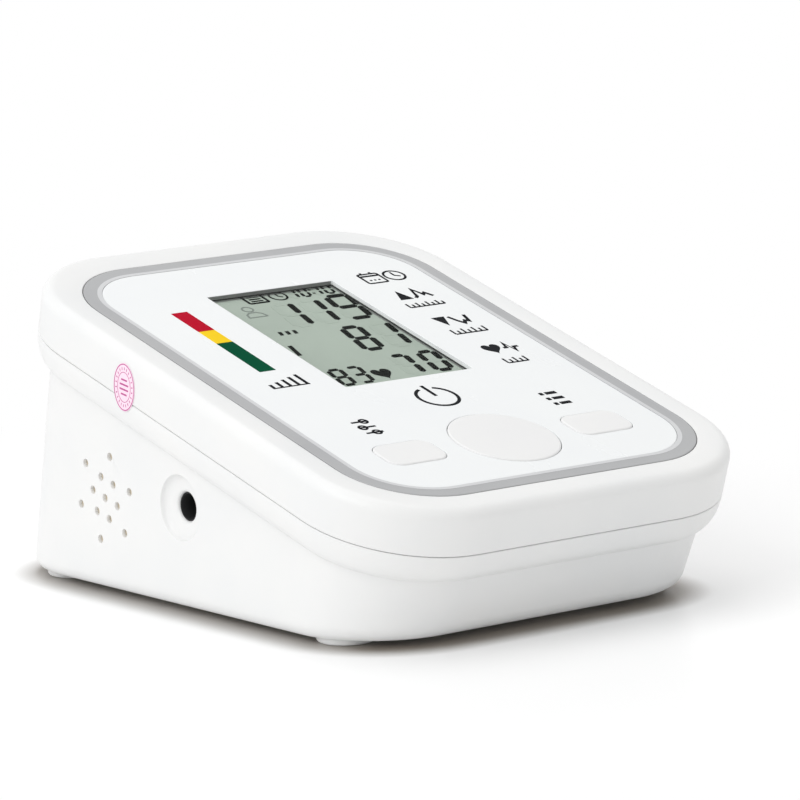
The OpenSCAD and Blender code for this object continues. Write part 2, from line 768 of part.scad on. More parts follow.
module base_cuts() {
    on_panel()
        screw_places(screw_u, screw_front_v, screw_back_v) {
            translate([0, 0, screw_seat_n - 80])
                cylinder(d = screw_head_d + 0.8, h = 80);
            translate([0, 0, screw_seat_n - 1])
                cylinder(d = screw_d + 0.4, h = 20);
        }
    for (x = [-screw_u, screw_u], v = [screw_front_v, screw_back_v])
        translate([x, axis_y(v, foot_h), 0])
            cylinder(d = foot_d + 0.1, h = foot_h + foot_seat);
    // battery pocket, finger notch and pin holes
    translate([-box_half, box_front_y, 0])
        cube([2 * box_half, box_back_y - box_front_y, pocket_top]);
    translate([-7, box_back_y - 1, 0])
        cube([14, 4, foot_h + 1.1]);
    for (side = [-1, 1])
        along_x(side * box_half - (side < 0 ? hinge_pin_l + 0.2 : 0), hinge_y, hinge_z)
            cylinder(r = hinge_pin_r + run_gap, h = hinge_pin_l + 0.2);
    // saddle curves
    along_x(damper_xs[0] - 0.5, pump_y, pump_z)
        cylinder(r = motor_d / 2 + damper_t + fit_gap, h = damper_xs[1] - damper_xs[0] + damper_w + 1);
    // strap screw holes
    for (side = [-1, 1])
        translate([strap_x, pump_y + side * strap_screw_y, pump_z - strap_screw_l - 0.5])
            cylinder(r = strap_screw_r + 0.02, h = strap_screw_l + 1);
    // speaker seat and holes
    along_x(speaker_x, speaker_y, speaker_z)
        cylinder(d = speaker_d + 0.2, h = 20);
    for (p = grille)
        along_x(-rim_w / 2, speaker_y + p.x, speaker_z + p.y)
            cylinder(d = grille_hole_d, h = rim_w / 2 + speaker_x + 1, $fn = 24);
    // dish with its hole
    along_x(-rim_w / 2, socket_y, socket_z) {
        cylinder(d = dish_d, h = rim_w / 2 - base_half_w + dish_depth);
        cylinder(d = socket_bore_d + 0.7, h = rim_w / 2 + socket_x + 1);
    }
    // inlet's slot and its sunk surround
    translate([base_half_w - wall - 1, inlet_y - inlet_w / 2 - 0.3, inlet_z - inlet_h / 2 - 0.3])
        cube([10, inlet_w + 0.6, inlet_h + 0.6]);
    translate([base_half_w - 0.8, inlet_y - inlet_w / 2 - 2, inlet_z - inlet_h / 2 - 2])
        cube([10, inlet_w + 4, inlet_h + 4]);
}

module base_shell() color("white") difference() {
    union() {
        difference() {
            base_outer();
            base_inner();
        }
        inside_features();
        locating_tongue();
    }
    base_cuts();
}

module feet() color("white")
    for (x = [-screw_u, screw_u], v = [screw_front_v, screw_back_v])
        translate([x, axis_y(v, foot_h), 0])
            rotate_extrude()
                polygon([[0, 0], [foot_d / 2 - 0.5, 0], [foot_d / 2, 0.5], [foot_d / 2, foot_h + foot_seat],
                         [0, foot_h + foot_seat]]);

module case_screws() color("gray") on_panel()
    screw_places(screw_u, screw_front_v, screw_back_v) {
        translate([0, 0, screw_seat_n])
            cylinder(d = screw_d, h = screw_l - 2);
        translate([0, 0, screw_seat_n - 2])
            difference() {
                cylinder(d = screw_head_d, h = 2);
                translate([0, 0, -1])
                    cylinder(d = 2.4, h = 2, $fn = 6);
            }
    }

// thin oval seal across the parting line, on the left side
seal_w = 7.2;
seal_l = 10;
seal_t = 0.12;
seal_turn = 8;
seal_v = 19.9;
seal_n = -7.2;
skirt_lean = skirt_draft / (skirt_h - rim_round);
module seal_sticker() color("pink") on_panel()
    translate([-rim_w / 2 - skirt_lean * (seal_n + rim_round) - fit_gap / 2, seal_v, seal_n])
        rotate([0, -90 - atan(skirt_lean), 0])
            rotate(seal_turn)
                linear_extrude(seal_t)
                    polygon([for (a = [0:12:348]) [seal_l / 2 * cos(a), seal_w / 2 * sin(a)]]);

// ---- air path ----
module air_socket() color("black") {
    along_x(socket_x, socket_y, socket_z)
        difference() {
            union() {
                cylinder(d = socket_d, h = socket_depth + 1.2);
                cylinder(d = dish_d + 1, h = 1.6);
            }
            translate([0, 0, -1])
                cylinder(d = socket_bore_d, h = socket_depth + 1);
            cylinder(r = nipple_hole_r, h = socket_depth + 4);
        }
    along_x(socket_end_x, socket_y, socket_z)
        nipple(nipple_l);
}

module air_joint() color("white") on_panel() translate([joint_u, joint_v, -joint_drop]) {
    difference() {
        cube(joint_size, center = true);
        translate([-joint_size, 0, 0])
            rotate([0, 90, 0])
                cylinder(r = nipple_hole_r, h = 2 * joint_size);
        translate([0, -joint_size, 0])
            rotate([-90, 0, 0])
                cylinder(r = nipple_hole_r, h = 2 * joint_size);
        cylinder(r = nipple_hole_r, h = joint_size);
    }
    for (a = [0, 90, 180, 270])
        rotate([0, 0, a])
            translate([joint_half, 0, 0])
                rotate([0, 90, 0])
                    nipple(nipple_l);
    translate([0, 0, joint_half])
        nipple(nipple_l);
}

lead = nipple_l + 0.6;
hose_gap = 0.1;
pump_nipple_x = cap_x + cap_l / 2;
module socket_tube() color("gainsboro")
    hose(route([socket_end_x + hose_gap, socket_y, socket_z], [1, 0, 0],
               on_slope(joint_u - joint_half - hose_gap, joint_v, -joint_drop), [-1, 0, 0], lead, 9, 12));

module pump_tube() color("gainsboro")
    hose(route([pump_nipple_x, pump_y - head_d / 2 - hose_gap, pump_z], [0, -1, 0],
               on_slope(joint_u, joint_v + joint_half + hose_gap, -joint_drop), slope_up, lead, 10, 14));

module sensor_tube() color("gainsboro") on_panel()
    translate([joint_u, joint_v, -joint_drop + joint_half + hose_gap])
        straight_hose(joint_drop - joint_half + board_low - sensor_h - 2 * hose_gap);

module valve_tube() color("gainsboro") on_panel()
    along_x(joint_u + joint_half + hose_gap, joint_v, -joint_drop)
        straight_hose(valve_x - joint_u - joint_half - 2 * hose_gap);

module leak_tube() color("gainsboro") on_panel()
    along_slope(joint_u, leak_v + hose_gap, -joint_drop)
        straight_hose(joint_v - joint_half - leak_v - 2 * hose_gap);

module leak_valve() color("silver") on_panel() {
    along_slope(joint_u, leak_v - leak_l, -joint_drop)
        difference() {
            cylinder(d = leak_d, h = leak_l);
            translate([0, 0, -1])
                cylinder(r = 0.4, h = leak_l + 2);
        }
    along_slope(joint_u, leak_v, -joint_drop)
        nipple(nipple_l);
}

// ---- exhaust valve: a coil round a sprung plunger ----
yoke_t = 1;
coil_r = valve_size / 2 - yoke_t - 0.2;
module valve_yoke() color("silver") on_panel() translate([valve_x, joint_v, -joint_drop]) {
    for (x = [0, valve_l - yoke_t])
        translate([x, -valve_size / 2, -valve_size / 2])
            difference() {
                cube([yoke_t, valve_size, valve_size]);
                translate([-1, valve_size / 2, valve_size / 2])
                    rotate([0, 90, 0])
                        cylinder(r = valve_bore_r + 0.6, h = yoke_t + 2);
            }
    translate([0, -valve_size / 2, -valve_size / 2])
        cube([valve_l, valve_size, yoke_t]);
}

module valve_coil() color("peru") on_panel() {
    along_x(valve_x + yoke_t, joint_v, -joint_drop)
        difference() {
            cylinder(r = coil_r, h = valve_l - 2 * yoke_t);
            translate([0, 0, 1])
                cylinder(r = valve_bore_r, h = valve_l);
            translate([0, 0, -1])
                cylinder(r = nipple_hole_r, h = 4);
        }
    along_x(valve_x, joint_v, -joint_drop)
        ring_along_x(valve_bore_r + 0.5, nipple_hole_r, yoke_t);
    along_x(valve_x - nipple_l, joint_v, -joint_drop)
        nipple(nipple_l);
}

module valve_plunger() color("gray") on_panel()
    along_x(valve_x + yoke_t + 1.2 + valve_travel, joint_v, -joint_drop)
        cylinder(r = valve_bore_r - run_gap, h = valve_l - 1.5);

// ---- pump ----
module motor_can() color("silver") along_x(motor_x, pump_y, pump_z) difference() {
    cylinder(d = motor_d, h = motor_l - motor_cap_t);
    translate([0, 0, can_wall])
        cylinder(d = motor_d - 2 * can_wall, h = motor_l);
    translate([0, 0, -1])
        cylinder(r = shaft_d / 2 + run_gap, h = 3);
}

module motor_magnet() color("dimgray") along_x(motor_x + 5, pump_y, pump_z)
    ring_along_x(motor_d / 2 - can_wall, motor_d / 2 - can_wall - magnet_t, motor_l - 12);

module motor_cap() color("black") along_x(pump_end_x - motor_cap_t, pump_y, pump_z) {
    difference() {
        cylinder(d = motor_d, h = motor_cap_t);
        translate([0, 0, -1])
            cylinder(r = shaft_d / 2 + run_gap, h = motor_cap_t + 2);
    }
    for (side = [-1, 1])
        translate([side * terminal_gap / 2 - 0.25, -terminal_out - 1.5, motor_cap_t])
            cube([0.5, 3, terminal_l]);
}

module pump_rotor() color("gray") {
    along_x(crank_x + 4.6, pump_y, pump_z)
        cylinder(d = shaft_d, h = pump_end_x - crank_x - 5);
    along_x(motor_x + 6, pump_y, pump_z)
        cylinder(r = armature_r, h = motor_l - 14);
    along_x(crank_x + 4.6, pump_y, pump_z)
        cylinder(r = 5, h = 2.5);
    along_x(crank_x + 2, pump_y, pump_z - crank_throw)
        cylinder(r = 1.1, h = 3);
}

module pump_crankcase() color("darkslategray") along_x(crank_x, pump_y, pump_z) difference() {
    cylinder(d = head_d, h = crank_l);
    translate([0, 0, 1.5])
        cylinder(r = 8, h = crank_l);
}

module pump_diaphragm() color("black") along_x(diaphragm_x, pump_y, pump_z)
    cylinder(d = head_d, h = diaphragm_t);

module pump_valve_cap() color("darkslategray") {
    along_x(cap_x, pump_y, pump_z)
        cylinder(d = head_d, h = cap_l);
    translate([pump_nipple_x, pump_y - head_d / 2, pump_z])
        rotate([90, 0, 0])
            nipple(nipple_l, 2);
}

module pump_dampers() color("black")
    for (x = damper_xs)
        along_x(x, pump_y, pump_z)
            ring_along_x(motor_d / 2 + damper_t, motor_d / 2, damper_w);

module pump_strap() color("ivory") difference() {
    union() {
        along_x(strap_x - strap_w / 2, pump_y, pump_z)
            cylinder(r = motor_d / 2 + fit_gap + strap_t, h = strap_w);
        translate([strap_x - strap_w / 2, pump_y - strap_screw_y - strap_foot / 2, pump_z])
            cube([strap_w, 2 * strap_screw_y + strap_foot, strap_t]);
    }
    along_x(strap_x - strap_w, pump_y, pump_z)
        cylinder(r = motor_d / 2 + fit_gap, h = 2 * strap_w);
    // only the upper half of the band is kept
    translate([strap_x - strap_w, pump_y - 2 * motor_d, pump_z - 2 * motor_d])
        cube([2 * strap_w, 4 * motor_d, 2 * motor_d]);
    for (side = [-1, 1])
        translate([strap_x, pump_y + side * strap_screw_y, pump_z - 1])
            cylinder(r = strap_screw_r + 0.2, h = 4);
}

module strap_screws() color("gray")
    for (side = [-1, 1])
        translate([strap_x, pump_y + side * strap_screw_y, pump_z]) {
            translate([0, 0, -strap_screw_l])
                cylinder(r = strap_screw_r, h = strap_screw_l + strap_t);
            translate([0, 0, strap_t])
                cylinder(r = strap_screw_r + 1, h = 1.5);
        }

// ---- speaker, its axis along X ----
basket_h = 4.4;
basket_r = speaker_d * 0.32;
cone_edge_r = speaker_d / 2 - 2.1;
dome_r = speaker_d / 4;
function fold_r(part) = dome_r + (cone_edge_r - dome_r) * part;
module speaker_frame() color("dimgray") along_x(speaker_x, speaker_y, speaker_z)
    rotate_extrude()
        polygon([[speaker_d / 2 - 2, 0], [speaker_d / 2, 0], [speaker_d / 2, 1], [speaker_d / 2 - 2.4, 1.6],
                 [basket_r, basket_h], [0, basket_h], [0, basket_h - 0.8], [basket_r - 0.4, basket_h - 0.8],
                 [speaker_d / 2 - 2.8, 1], [speaker_d / 2 - 2, 0.8]]);

module speaker_cone() color("black") along_x(speaker_x, speaker_y, speaker_z)
    rotate_extrude()
        polygon([[0, 0.6], [dome_r * 0.6, 1], [dome_r, 2.2], [fold_r(0.5), 0.9], [cone_edge_r, 0.2],
                 [cone_edge_r, 0.5], [fold_r(0.5), 1.2], [dome_r, 2.5], [dome_r * 0.6, 1.4], [0, 1]]);

module speaker_magnet() color("gray") along_x(speaker_x + basket_h, speaker_y, speaker_z)
    cylinder(r = dome_r - 0.5, h = 3);

// ---- batteries ----
module battery_door() color("white") {
    width = 2 * (box_half - door_gap);
    length = box_back_y - door_gap - hinge_y;
    translate([-width / 2, hinge_y, door_z])
        cube([width, length, door_t]);
    along_x(-width / 2, hinge_y, hinge_z)
        cylinder(r = hinge_r, h = width);
    along_x(-width / 2 - hinge_pin_l, hinge_y, hinge_z)
        cylinder(r = hinge_pin_r, h = width + 2 * hinge_pin_l);
    // latch tongue at the back edge
    translate([-6, box_back_y - 1.8, door_top])
        cube([12, 1, 2.8]);
}

module cell(i) translate([0, cell_y(i), cell_z]) mirror([i % 2, 0, 0]) {
    along_x(-box_half + spring_room, 0, 0)
        cylinder(r = cell_r, h = cell_l - nub_l);
    along_x(-box_half + spring_room + cell_l - nub_l, 0, 0)
        cylinder(r = 2.75, h = nub_l);
}

module battery_cells() color("goldenrod")
    for (i = [0:cell_count - 1])
        cell(i);

spring_turns = 4;
spring_r = 3;
wire_r = 0.35;
spring_l = spring_room - contact_t - 2 * wire_r;
spring_path = [for (a = [0:30:360 * spring_turns])
    [contact_t + wire_r + spring_l * a / (360 * spring_turns), spring_r * cos(a), spring_r * sin(a)]];

module battery_springs() color("silver")
    for (i = [0:cell_count - 1])
        translate([0, cell_y(i), cell_z])
            mirror([i % 2, 0, 0])
                translate([-box_half, 0, 0])
                    swept(spring_path, wire_r, 6);

module contact_plate(x, first, last) {
    plate_half = cell_r * 0.6;
    translate([x, cell_y(first) - plate_half, cell_z - plate_half])
        cube([contact_t, cell_y(last) - cell_y(first) + 2 * plate_half, 2 * plate_half]);
}

module battery_plates() color("gold") {
    for (i = [0:2:cell_count - 1])
        contact_plate(-box_half, i, min(i + 1, cell_count - 1));
    for (i = [-1:2:cell_count - 1])
        contact_plate(box_half - contact_t, max(i, 0), min(i + 1, cell_count - 1));
    // raised spots that meet the cells' ends
    for (i = [0:cell_count - 1])
        translate([0, cell_y(i), cell_z])
            mirror([i % 2, 0, 0])
                along_x(box_half - plate_room, 0, 0)
                    cylinder(r = 2, h = plate_room - contact_t + eps);
}

// ---- power inlet ----
module power_inlet() color("silver") translate([inlet_x - inlet_l, inlet_y, inlet_z]) {
    difference() {
        translate([0, -inlet_w / 2, -inlet_h / 2])
            cube([inlet_l, inlet_w, inlet_h]);
        translate([1, -inlet_w / 2 + 0.4, -inlet_h / 2 + 0.4])
            cube([inlet_l, inlet_w - 0.8, inlet_h - 0.8]);
    }
    translate([0.5, -2.4, -0.25])
        cube([inlet_l - 1.5, 4.8, 0.5]);
}

module inlet_board() color("darkgreen")
    translate([base_half_w - wall - inlet_board_l, inlet_y - inlet_board_w / 2, inlet_board_z])
        cube([inlet_board_l - 0.2, inlet_board_w, inlet_board_t]);

// ---- leads: pairs of thin wires, soldered at one end and plugged into the board at the other ----
lead_r = 0.6;
lead_gap = 1.4;
function lead_socket(i) =
    on_slope(lead_sockets[i].x, lead_sockets[i].y, board_low - lead_socket_h - 0.05);
slope_out = [0, sin(tilt), -cos(tilt)];
lead_side = lead_gap / 2 * unit([0, 4, 3]);

module lead_pair(from, go, i, apart, pull = 8) {
    for (side = [-1, 1]) {
        pin = lead_socket(i) + side * lead_gap / 2 * slope_up;
        swept(route(from + side * apart, go, pin, slope_out, 1.5, pull, 10), lead_r);
    }
}

module speaker_leads() color("firebrick")
    lead_pair([speaker_x + basket_h + 0.1, speaker_y, speaker_z + 8.2], [1, 0, 0], 0, lead_side, 6);

module pump_leads() color("firebrick")
    lead_pair([pump_end_x + terminal_l + 0.1, pump_y - terminal_out, pump_z], [1, 0, 0], 1,
              [0, 0, terminal_gap / 2], 6);

module valve_leads() color("firebrick")
    lead_pair(on_slope(valve_x + valve_l / 2, joint_v, coil_r - joint_drop + fit_gap), -slope_out, 2,
              lead_gap / 2 * slope_up, 2);

module battery_leads() color("firebrick")
    lead_pair([box_half + box_wall + 0.1, cell_y(1), cell_z + 4], [1, 0, 0], 3, lead_side, 6);

top_cover();
trim_ring();
face_panel();
window_pane();
window_gasket();
display_glass();
display_frame();
contact_strips();
start_key();
set_key();
memory_key();
main_board();
board_chips();
wire_sockets();
board_screws();
switch_bodies();
start_plunger();
set_plunger();
memory_plunger();
pressure_sensor();
base_shell();
feet();
case_screws();
seal_sticker();
air_socket();
air_joint();
socket_tube();
pump_tube();
sensor_tube();
valve_tube();
leak_tube();
leak_valve();
valve_yoke();
valve_coil();
valve_plunger();
motor_can();
motor_magnet();
motor_cap();
pump_rotor();
pump_crankcase();
pump_diaphragm();
pump_valve_cap();
pump_dampers();
pump_strap();
strap_screws();
speaker_frame();
speaker_cone();
speaker_magnet();
battery_door();
battery_cells();
battery_springs();
battery_plates();
power_inlet();
inlet_board();
speaker_leads();
pump_leads();
valve_leads();
battery_leads();
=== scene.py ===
import math

import bmesh
import bpy
from mathutils import Matrix, Vector
from mathutils.geometry import tessellate_polygon


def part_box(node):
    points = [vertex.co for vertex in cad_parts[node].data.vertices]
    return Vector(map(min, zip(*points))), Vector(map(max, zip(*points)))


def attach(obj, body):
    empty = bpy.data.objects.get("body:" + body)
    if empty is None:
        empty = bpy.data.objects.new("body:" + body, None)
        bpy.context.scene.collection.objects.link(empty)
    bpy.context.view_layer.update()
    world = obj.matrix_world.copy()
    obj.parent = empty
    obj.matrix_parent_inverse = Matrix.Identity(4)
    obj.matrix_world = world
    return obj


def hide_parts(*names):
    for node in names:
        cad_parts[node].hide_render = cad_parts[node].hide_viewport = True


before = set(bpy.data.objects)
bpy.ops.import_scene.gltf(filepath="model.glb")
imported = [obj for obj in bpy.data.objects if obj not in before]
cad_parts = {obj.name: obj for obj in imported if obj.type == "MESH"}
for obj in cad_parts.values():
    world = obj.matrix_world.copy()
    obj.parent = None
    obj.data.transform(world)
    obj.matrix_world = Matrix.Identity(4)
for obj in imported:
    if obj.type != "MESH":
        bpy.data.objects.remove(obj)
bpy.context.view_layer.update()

# Sizes are in millimetres until a mesh is made. Panel coordinates are u to the right, v up the slope
# and n outwards from the panel's face.
MM = 0.001
HOUSING = "housing"

TILT = math.radians(16)
PANEL_T = 0.8
RIM_W, RIM_L, RIM_R, RIM_SHIFT = 100.0, 134.4, 24.5, 1.0
RIM_ROUND = 2.4
SKIRT_H = 9.8
SKIRT_DRAFT = 0.2
WALL = 2.2
LIP_H = 6.6
LIP_INSET = 3.3
PARTING_N = -9.95
NOTCH_N = -16.4
FRONT_LEAN, BACK_LEAN = 0.18, -0.07
FOOT_H, FOOT_SEAT, FOOT_D = 1.2, 0.8, 11.8
BASE_ROUND = 3.0
FLOOR_Z = FOOT_H + WALL
BASE_HALF_W = 45.876
SEAT_LOW = -2.8
RING_W, RING_L, RING_R, RING_BAND = 86.0, 118.5, 18.0, 3.9
WINDOW_W, WINDOW_L, WINDOW_V = 32.3, 48.8, 16.3
KEYS_V, KEY_GAP, KEY_PROUD, START_D = -39.3, 0.13, 0.2, 22.8
SMALL_W, SMALL_L, SMALL_R, SMALL_U = 14.2, 9.4, 3.0, 23.7
FLANGE, FLANGE_TOP, FLANGE_LOW, STEM_LOW, STEM_R = 1.2, -2.9, -3.9, -5.15, 1.6
SCREW_U, SCREW_FRONT_V, SCREW_BACK_V = 36.9, -44.4, 45.2
SCREW_SEAT_N, POST_TOP_N = -19.6, -16.6
SOCKET_Y, SOCKET_Z, SOCKET_X = 2.0, 21.9, -42.476
SPEAKER_Y, SPEAKER_Z, SPEAKER_X, SPEAKER_D = 28.4, 20.5, -43.676, 28.0
BOX_HALF, BOX_WALL, BOX_FRONT, BOX_BACK, BOX_TOP, POCKET_TOP = 27.9, 1.2, 3.0, 62.0, 19.3, 18.1
DOOR_Z, DOOR_T, DOOR_GAP, HINGE_Y, HINGE_Z, HINGE_R = 1.4, 2.0, 0.3, 4.8, 2.9, 1.5
PUMP_Y, PUMP_Z, MOTOR_D, STRAP_X, STRAP_SCREW_Y = 40.004, 34.0, 24.4, 16.0, 16.4
INLET_Y, INLET_Z, INLET_W, INLET_H, INLET_END, INLET_L = 24.0, 12.0, 7.6, 2.8, 44.876, 5.6
LCD_N = -1.2
LCD_LOW, LCD_HIGH = LCD_N + 0.005, LCD_N + 0.03
CLOTH_R, CLOTH_DEPTH = 12.0, 0.85
INK_LOW, INK_HIGH = -0.02, 0.03
SEAL_HALF_L, SEAL_HALF_W = 5.0, 3.6
SCREW_SPOTS = [(u, v) for u in (-SCREW_U, SCREW_U) for v in (SCREW_FRONT_V, SCREW_BACK_V)]
BOARD_SPOTS = [(u, v) for u in (-27.5, 27.5) for v in (-27.5, 42.5)]

ring_low, ring_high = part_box("trim_ring")
normal = Vector((0, -math.sin(TILT), math.cos(TILT)))
middle = (ring_low + ring_high) / 2 / MM + normal * PANEL_T / 2
PANEL = Matrix.Translation(middle) @ Matrix.Rotation(TILT, 4, "X")
FLAT = Matrix.Identity(4)


# ---- finishes

def srgb(r, g, b):
    def linear(c):
        c /= 255
        return c / 12.92 if c <= 0.04045 else ((c + 0.055) / 1.055) ** 2.4
    return (linear(r), linear(g), linear(b), 1.0)


def node_group(name, inputs, outputs):
    group = bpy.data.node_groups.new(name, "ShaderNodeTree")
    for label, kind, value in inputs:
        socket = group.interface.new_socket(label, in_out="INPUT", socket_type=kind)
        socket.default_value = value
    for label, kind in outputs:
        group.interface.new_socket(label, in_out="OUTPUT", socket_type=kind)
    return group, group.nodes.new("NodeGroupInput"), group.nodes.new("NodeGroupOutput")


def feed(tree, node, inputs):
    """Gives each input a plain value, or a link from another node's socket."""
    for label, value in inputs.items():
        if isinstance(value, bpy.types.NodeSocket):
            tree.links.new(value, node.inputs[label])
        else:
            node.inputs[label].default_value = value
    return node


def add(tree, kind, inputs=None, **settings):
    """Adds a node, sets it up and feeds it."""
    node = tree.nodes.new(kind)
    for label, value in settings.items():
        setattr(node, label, value)
    return feed(tree, node, inputs or {})


def maths(tree, operation, a, b=0.5):
    return add(tree, "ShaderNodeMath", {0: a, 1: b}, operation=operation).outputs["Value"]


def blend(tree, share, under, over):
    """The colour over where the share is 1, the colour under where it is 0."""
    mix = add(tree, "ShaderNodeMix", {"Factor": share, "A": under, "B": over}, data_type="RGBA")
    return mix.outputs["Result"]


def remap(tree, value, from_min, from_max, to_min=0.0, to_max=1.0, **settings):
    """Stretches the range from_min..from_max onto to_min..to_max."""
    ends = {"Value": value, "From Min": from_min, "From Max": from_max, "To Min": to_min, "To Max": to_max}
    return add(tree, "ShaderNodeMapRange", ends, **settings).outputs["Result"]


def object_place(tree):
    return add(tree, "ShaderNodeTexCoord").outputs["Object"]


def noise(tree, scale, detail=2.0, stretch=(1, 1, 1)):
    """Noise in object coordinates; scale counts its features per metre."""
    mapping = add(tree, "ShaderNodeMapping", {"Vector": object_place(tree), "Scale": stretch})
    settings = {"Vector": mapping.outputs["Vector"], "Scale": scale, "Detail": detail}
    return add(tree, "ShaderNodeTexNoise", settings).outputs["Fac"]


def spread(tree, source, low, high):
    """Maps a noise's middle range onto low..high."""
    return remap(tree, source, 0.3, 0.7, low, high)


def make_skin_group():
    """Colour and roughness that drift a little, as in a moulding that has been handled."""
    group, given, out = node_group(
        "Handled skin",
        [("Colour", "NodeSocketColor", (0.8, 0.8, 0.8, 1)), ("Tint", "NodeSocketColor", (0.7, 0.7, 0.7, 1)),
         ("Smooth", "NodeSocketFloat", 0.3), ("Rough", "NodeSocketFloat", 0.4)],
        [("Colour", "NodeSocketColor"), ("Roughness", "NodeSocketFloat")])
    cloud = spread(group, noise(group, 45.0, 3.0), 0.0, 1.0)
    smear = noise(group, 130.0, 5.0, (1.0, 0.35, 1.0))
    feed(group, out, {
        "Colour": blend(group, cloud, given.outputs["Colour"], given.outputs["Tint"]),
        "Roughness": spread(group, smear, given.outputs["Smooth"], given.outputs["Rough"])})
    return group


def make_grain_group():
    """Fine mould grain, or a brushed grain when it is stretched along one axis."""
    group, given, out = node_group(
        "Mould grain",
        [("Grains per metre", "NodeSocketFloat", 2500.0), ("Depth", "NodeSocketFloat", 0.00001),
         ("Stretch", "NodeSocketVector", (1, 1, 1))],
        [("Normal", "NodeSocketVector")])
    grain = noise(group, given.outputs["Grains per metre"], 2.0, given.outputs["Stretch"])
    bump = add(group, "ShaderNodeBump", {"Distance": given.outputs["Depth"], "Height": grain})
    feed(group, out, {"Normal": bump.outputs["Normal"]})
    return group


HANDLED_SKIN = make_skin_group()
MOULD_GRAIN = make_grain_group()
FINISH = {}


def finish(name, colour, tint, rough, grain, stretch=(1, 1, 1), **plain):
    """A material with drifting colour and roughness and a fine grain; plain values go on the shader."""
    material = FINISH[name] = bpy.data.materials.new(name + "_finish")
    material.use_nodes = True
    tree = material.node_tree
    skin = add(tree, "ShaderNodeGroup", {
        "Colour": srgb(*colour), "Tint": srgb(*tint), "Smooth": rough[0], "Rough": rough[1]},
        node_tree=HANDLED_SKIN)
    texture = add(tree, "ShaderNodeGroup", {
        "Grains per metre": grain[0], "Depth": grain[1] * MM, "Stretch": stretch}, node_tree=MOULD_GRAIN)
    shader = feed(tree, tree.nodes["Principled BSDF"], {
        "Base Color": skin.outputs["Colour"], "Roughness": skin.outputs["Roughness"],
        "Normal": texture.outputs["Normal"]})
    for label, value in plain.items():
        shader.inputs[label.replace("_", " ")].default_value = value
    return material


def patterned(material, make_mask, colour):
    """Lays a second colour over a finish where the mask is 1."""
    tree = material.node_tree
    shader = tree.nodes["Principled BSDF"]
    under = shader.inputs["Base Color"].links[0].from_socket
    feed(tree, shader, {"Base Color": blend(tree, make_mask(tree), under, srgb(*colour))})


def above(tree, source, edge):
    return maths(tree, "GREATER_THAN", source, edge)


def copper_tracks(tree):
    tracks = add(tree, "ShaderNodeTexBrick", {
        "Vector": object_place(tree), "Scale": 260.0, "Mortar Size": 0.06,
        "Color1": (0, 0, 0, 1), "Color2": (0, 0, 0, 1), "Mortar": (1, 1, 1, 1)})
    return above(tree, tracks.outputs["Color"], 0.5)


def wound_wire(tree):
    wire = add(tree, "ShaderNodeTexWave", {"Vector": object_place(tree), "Scale": 900.0}, bands_direction="X")
    return above(tree, wire.outputs["Fac"], 0.8)


def sleeve_end(tree):
    """1 near both ends of the cells, 0 on their middle."""
    split = add(tree, "ShaderNodeSeparateXYZ", {"Vector": object_place(tree)})
    return above(tree, maths(tree, "ABSOLUTE", split.outputs["X"]), 0.017)


def fibres(tree):
    return above(tree, noise(tree, 900.0, 4.0, (1, 4, 1)), 0.62)


def pores(tree):
    return above(tree, noise(tree, 2600.0, 1.0), 0.6)


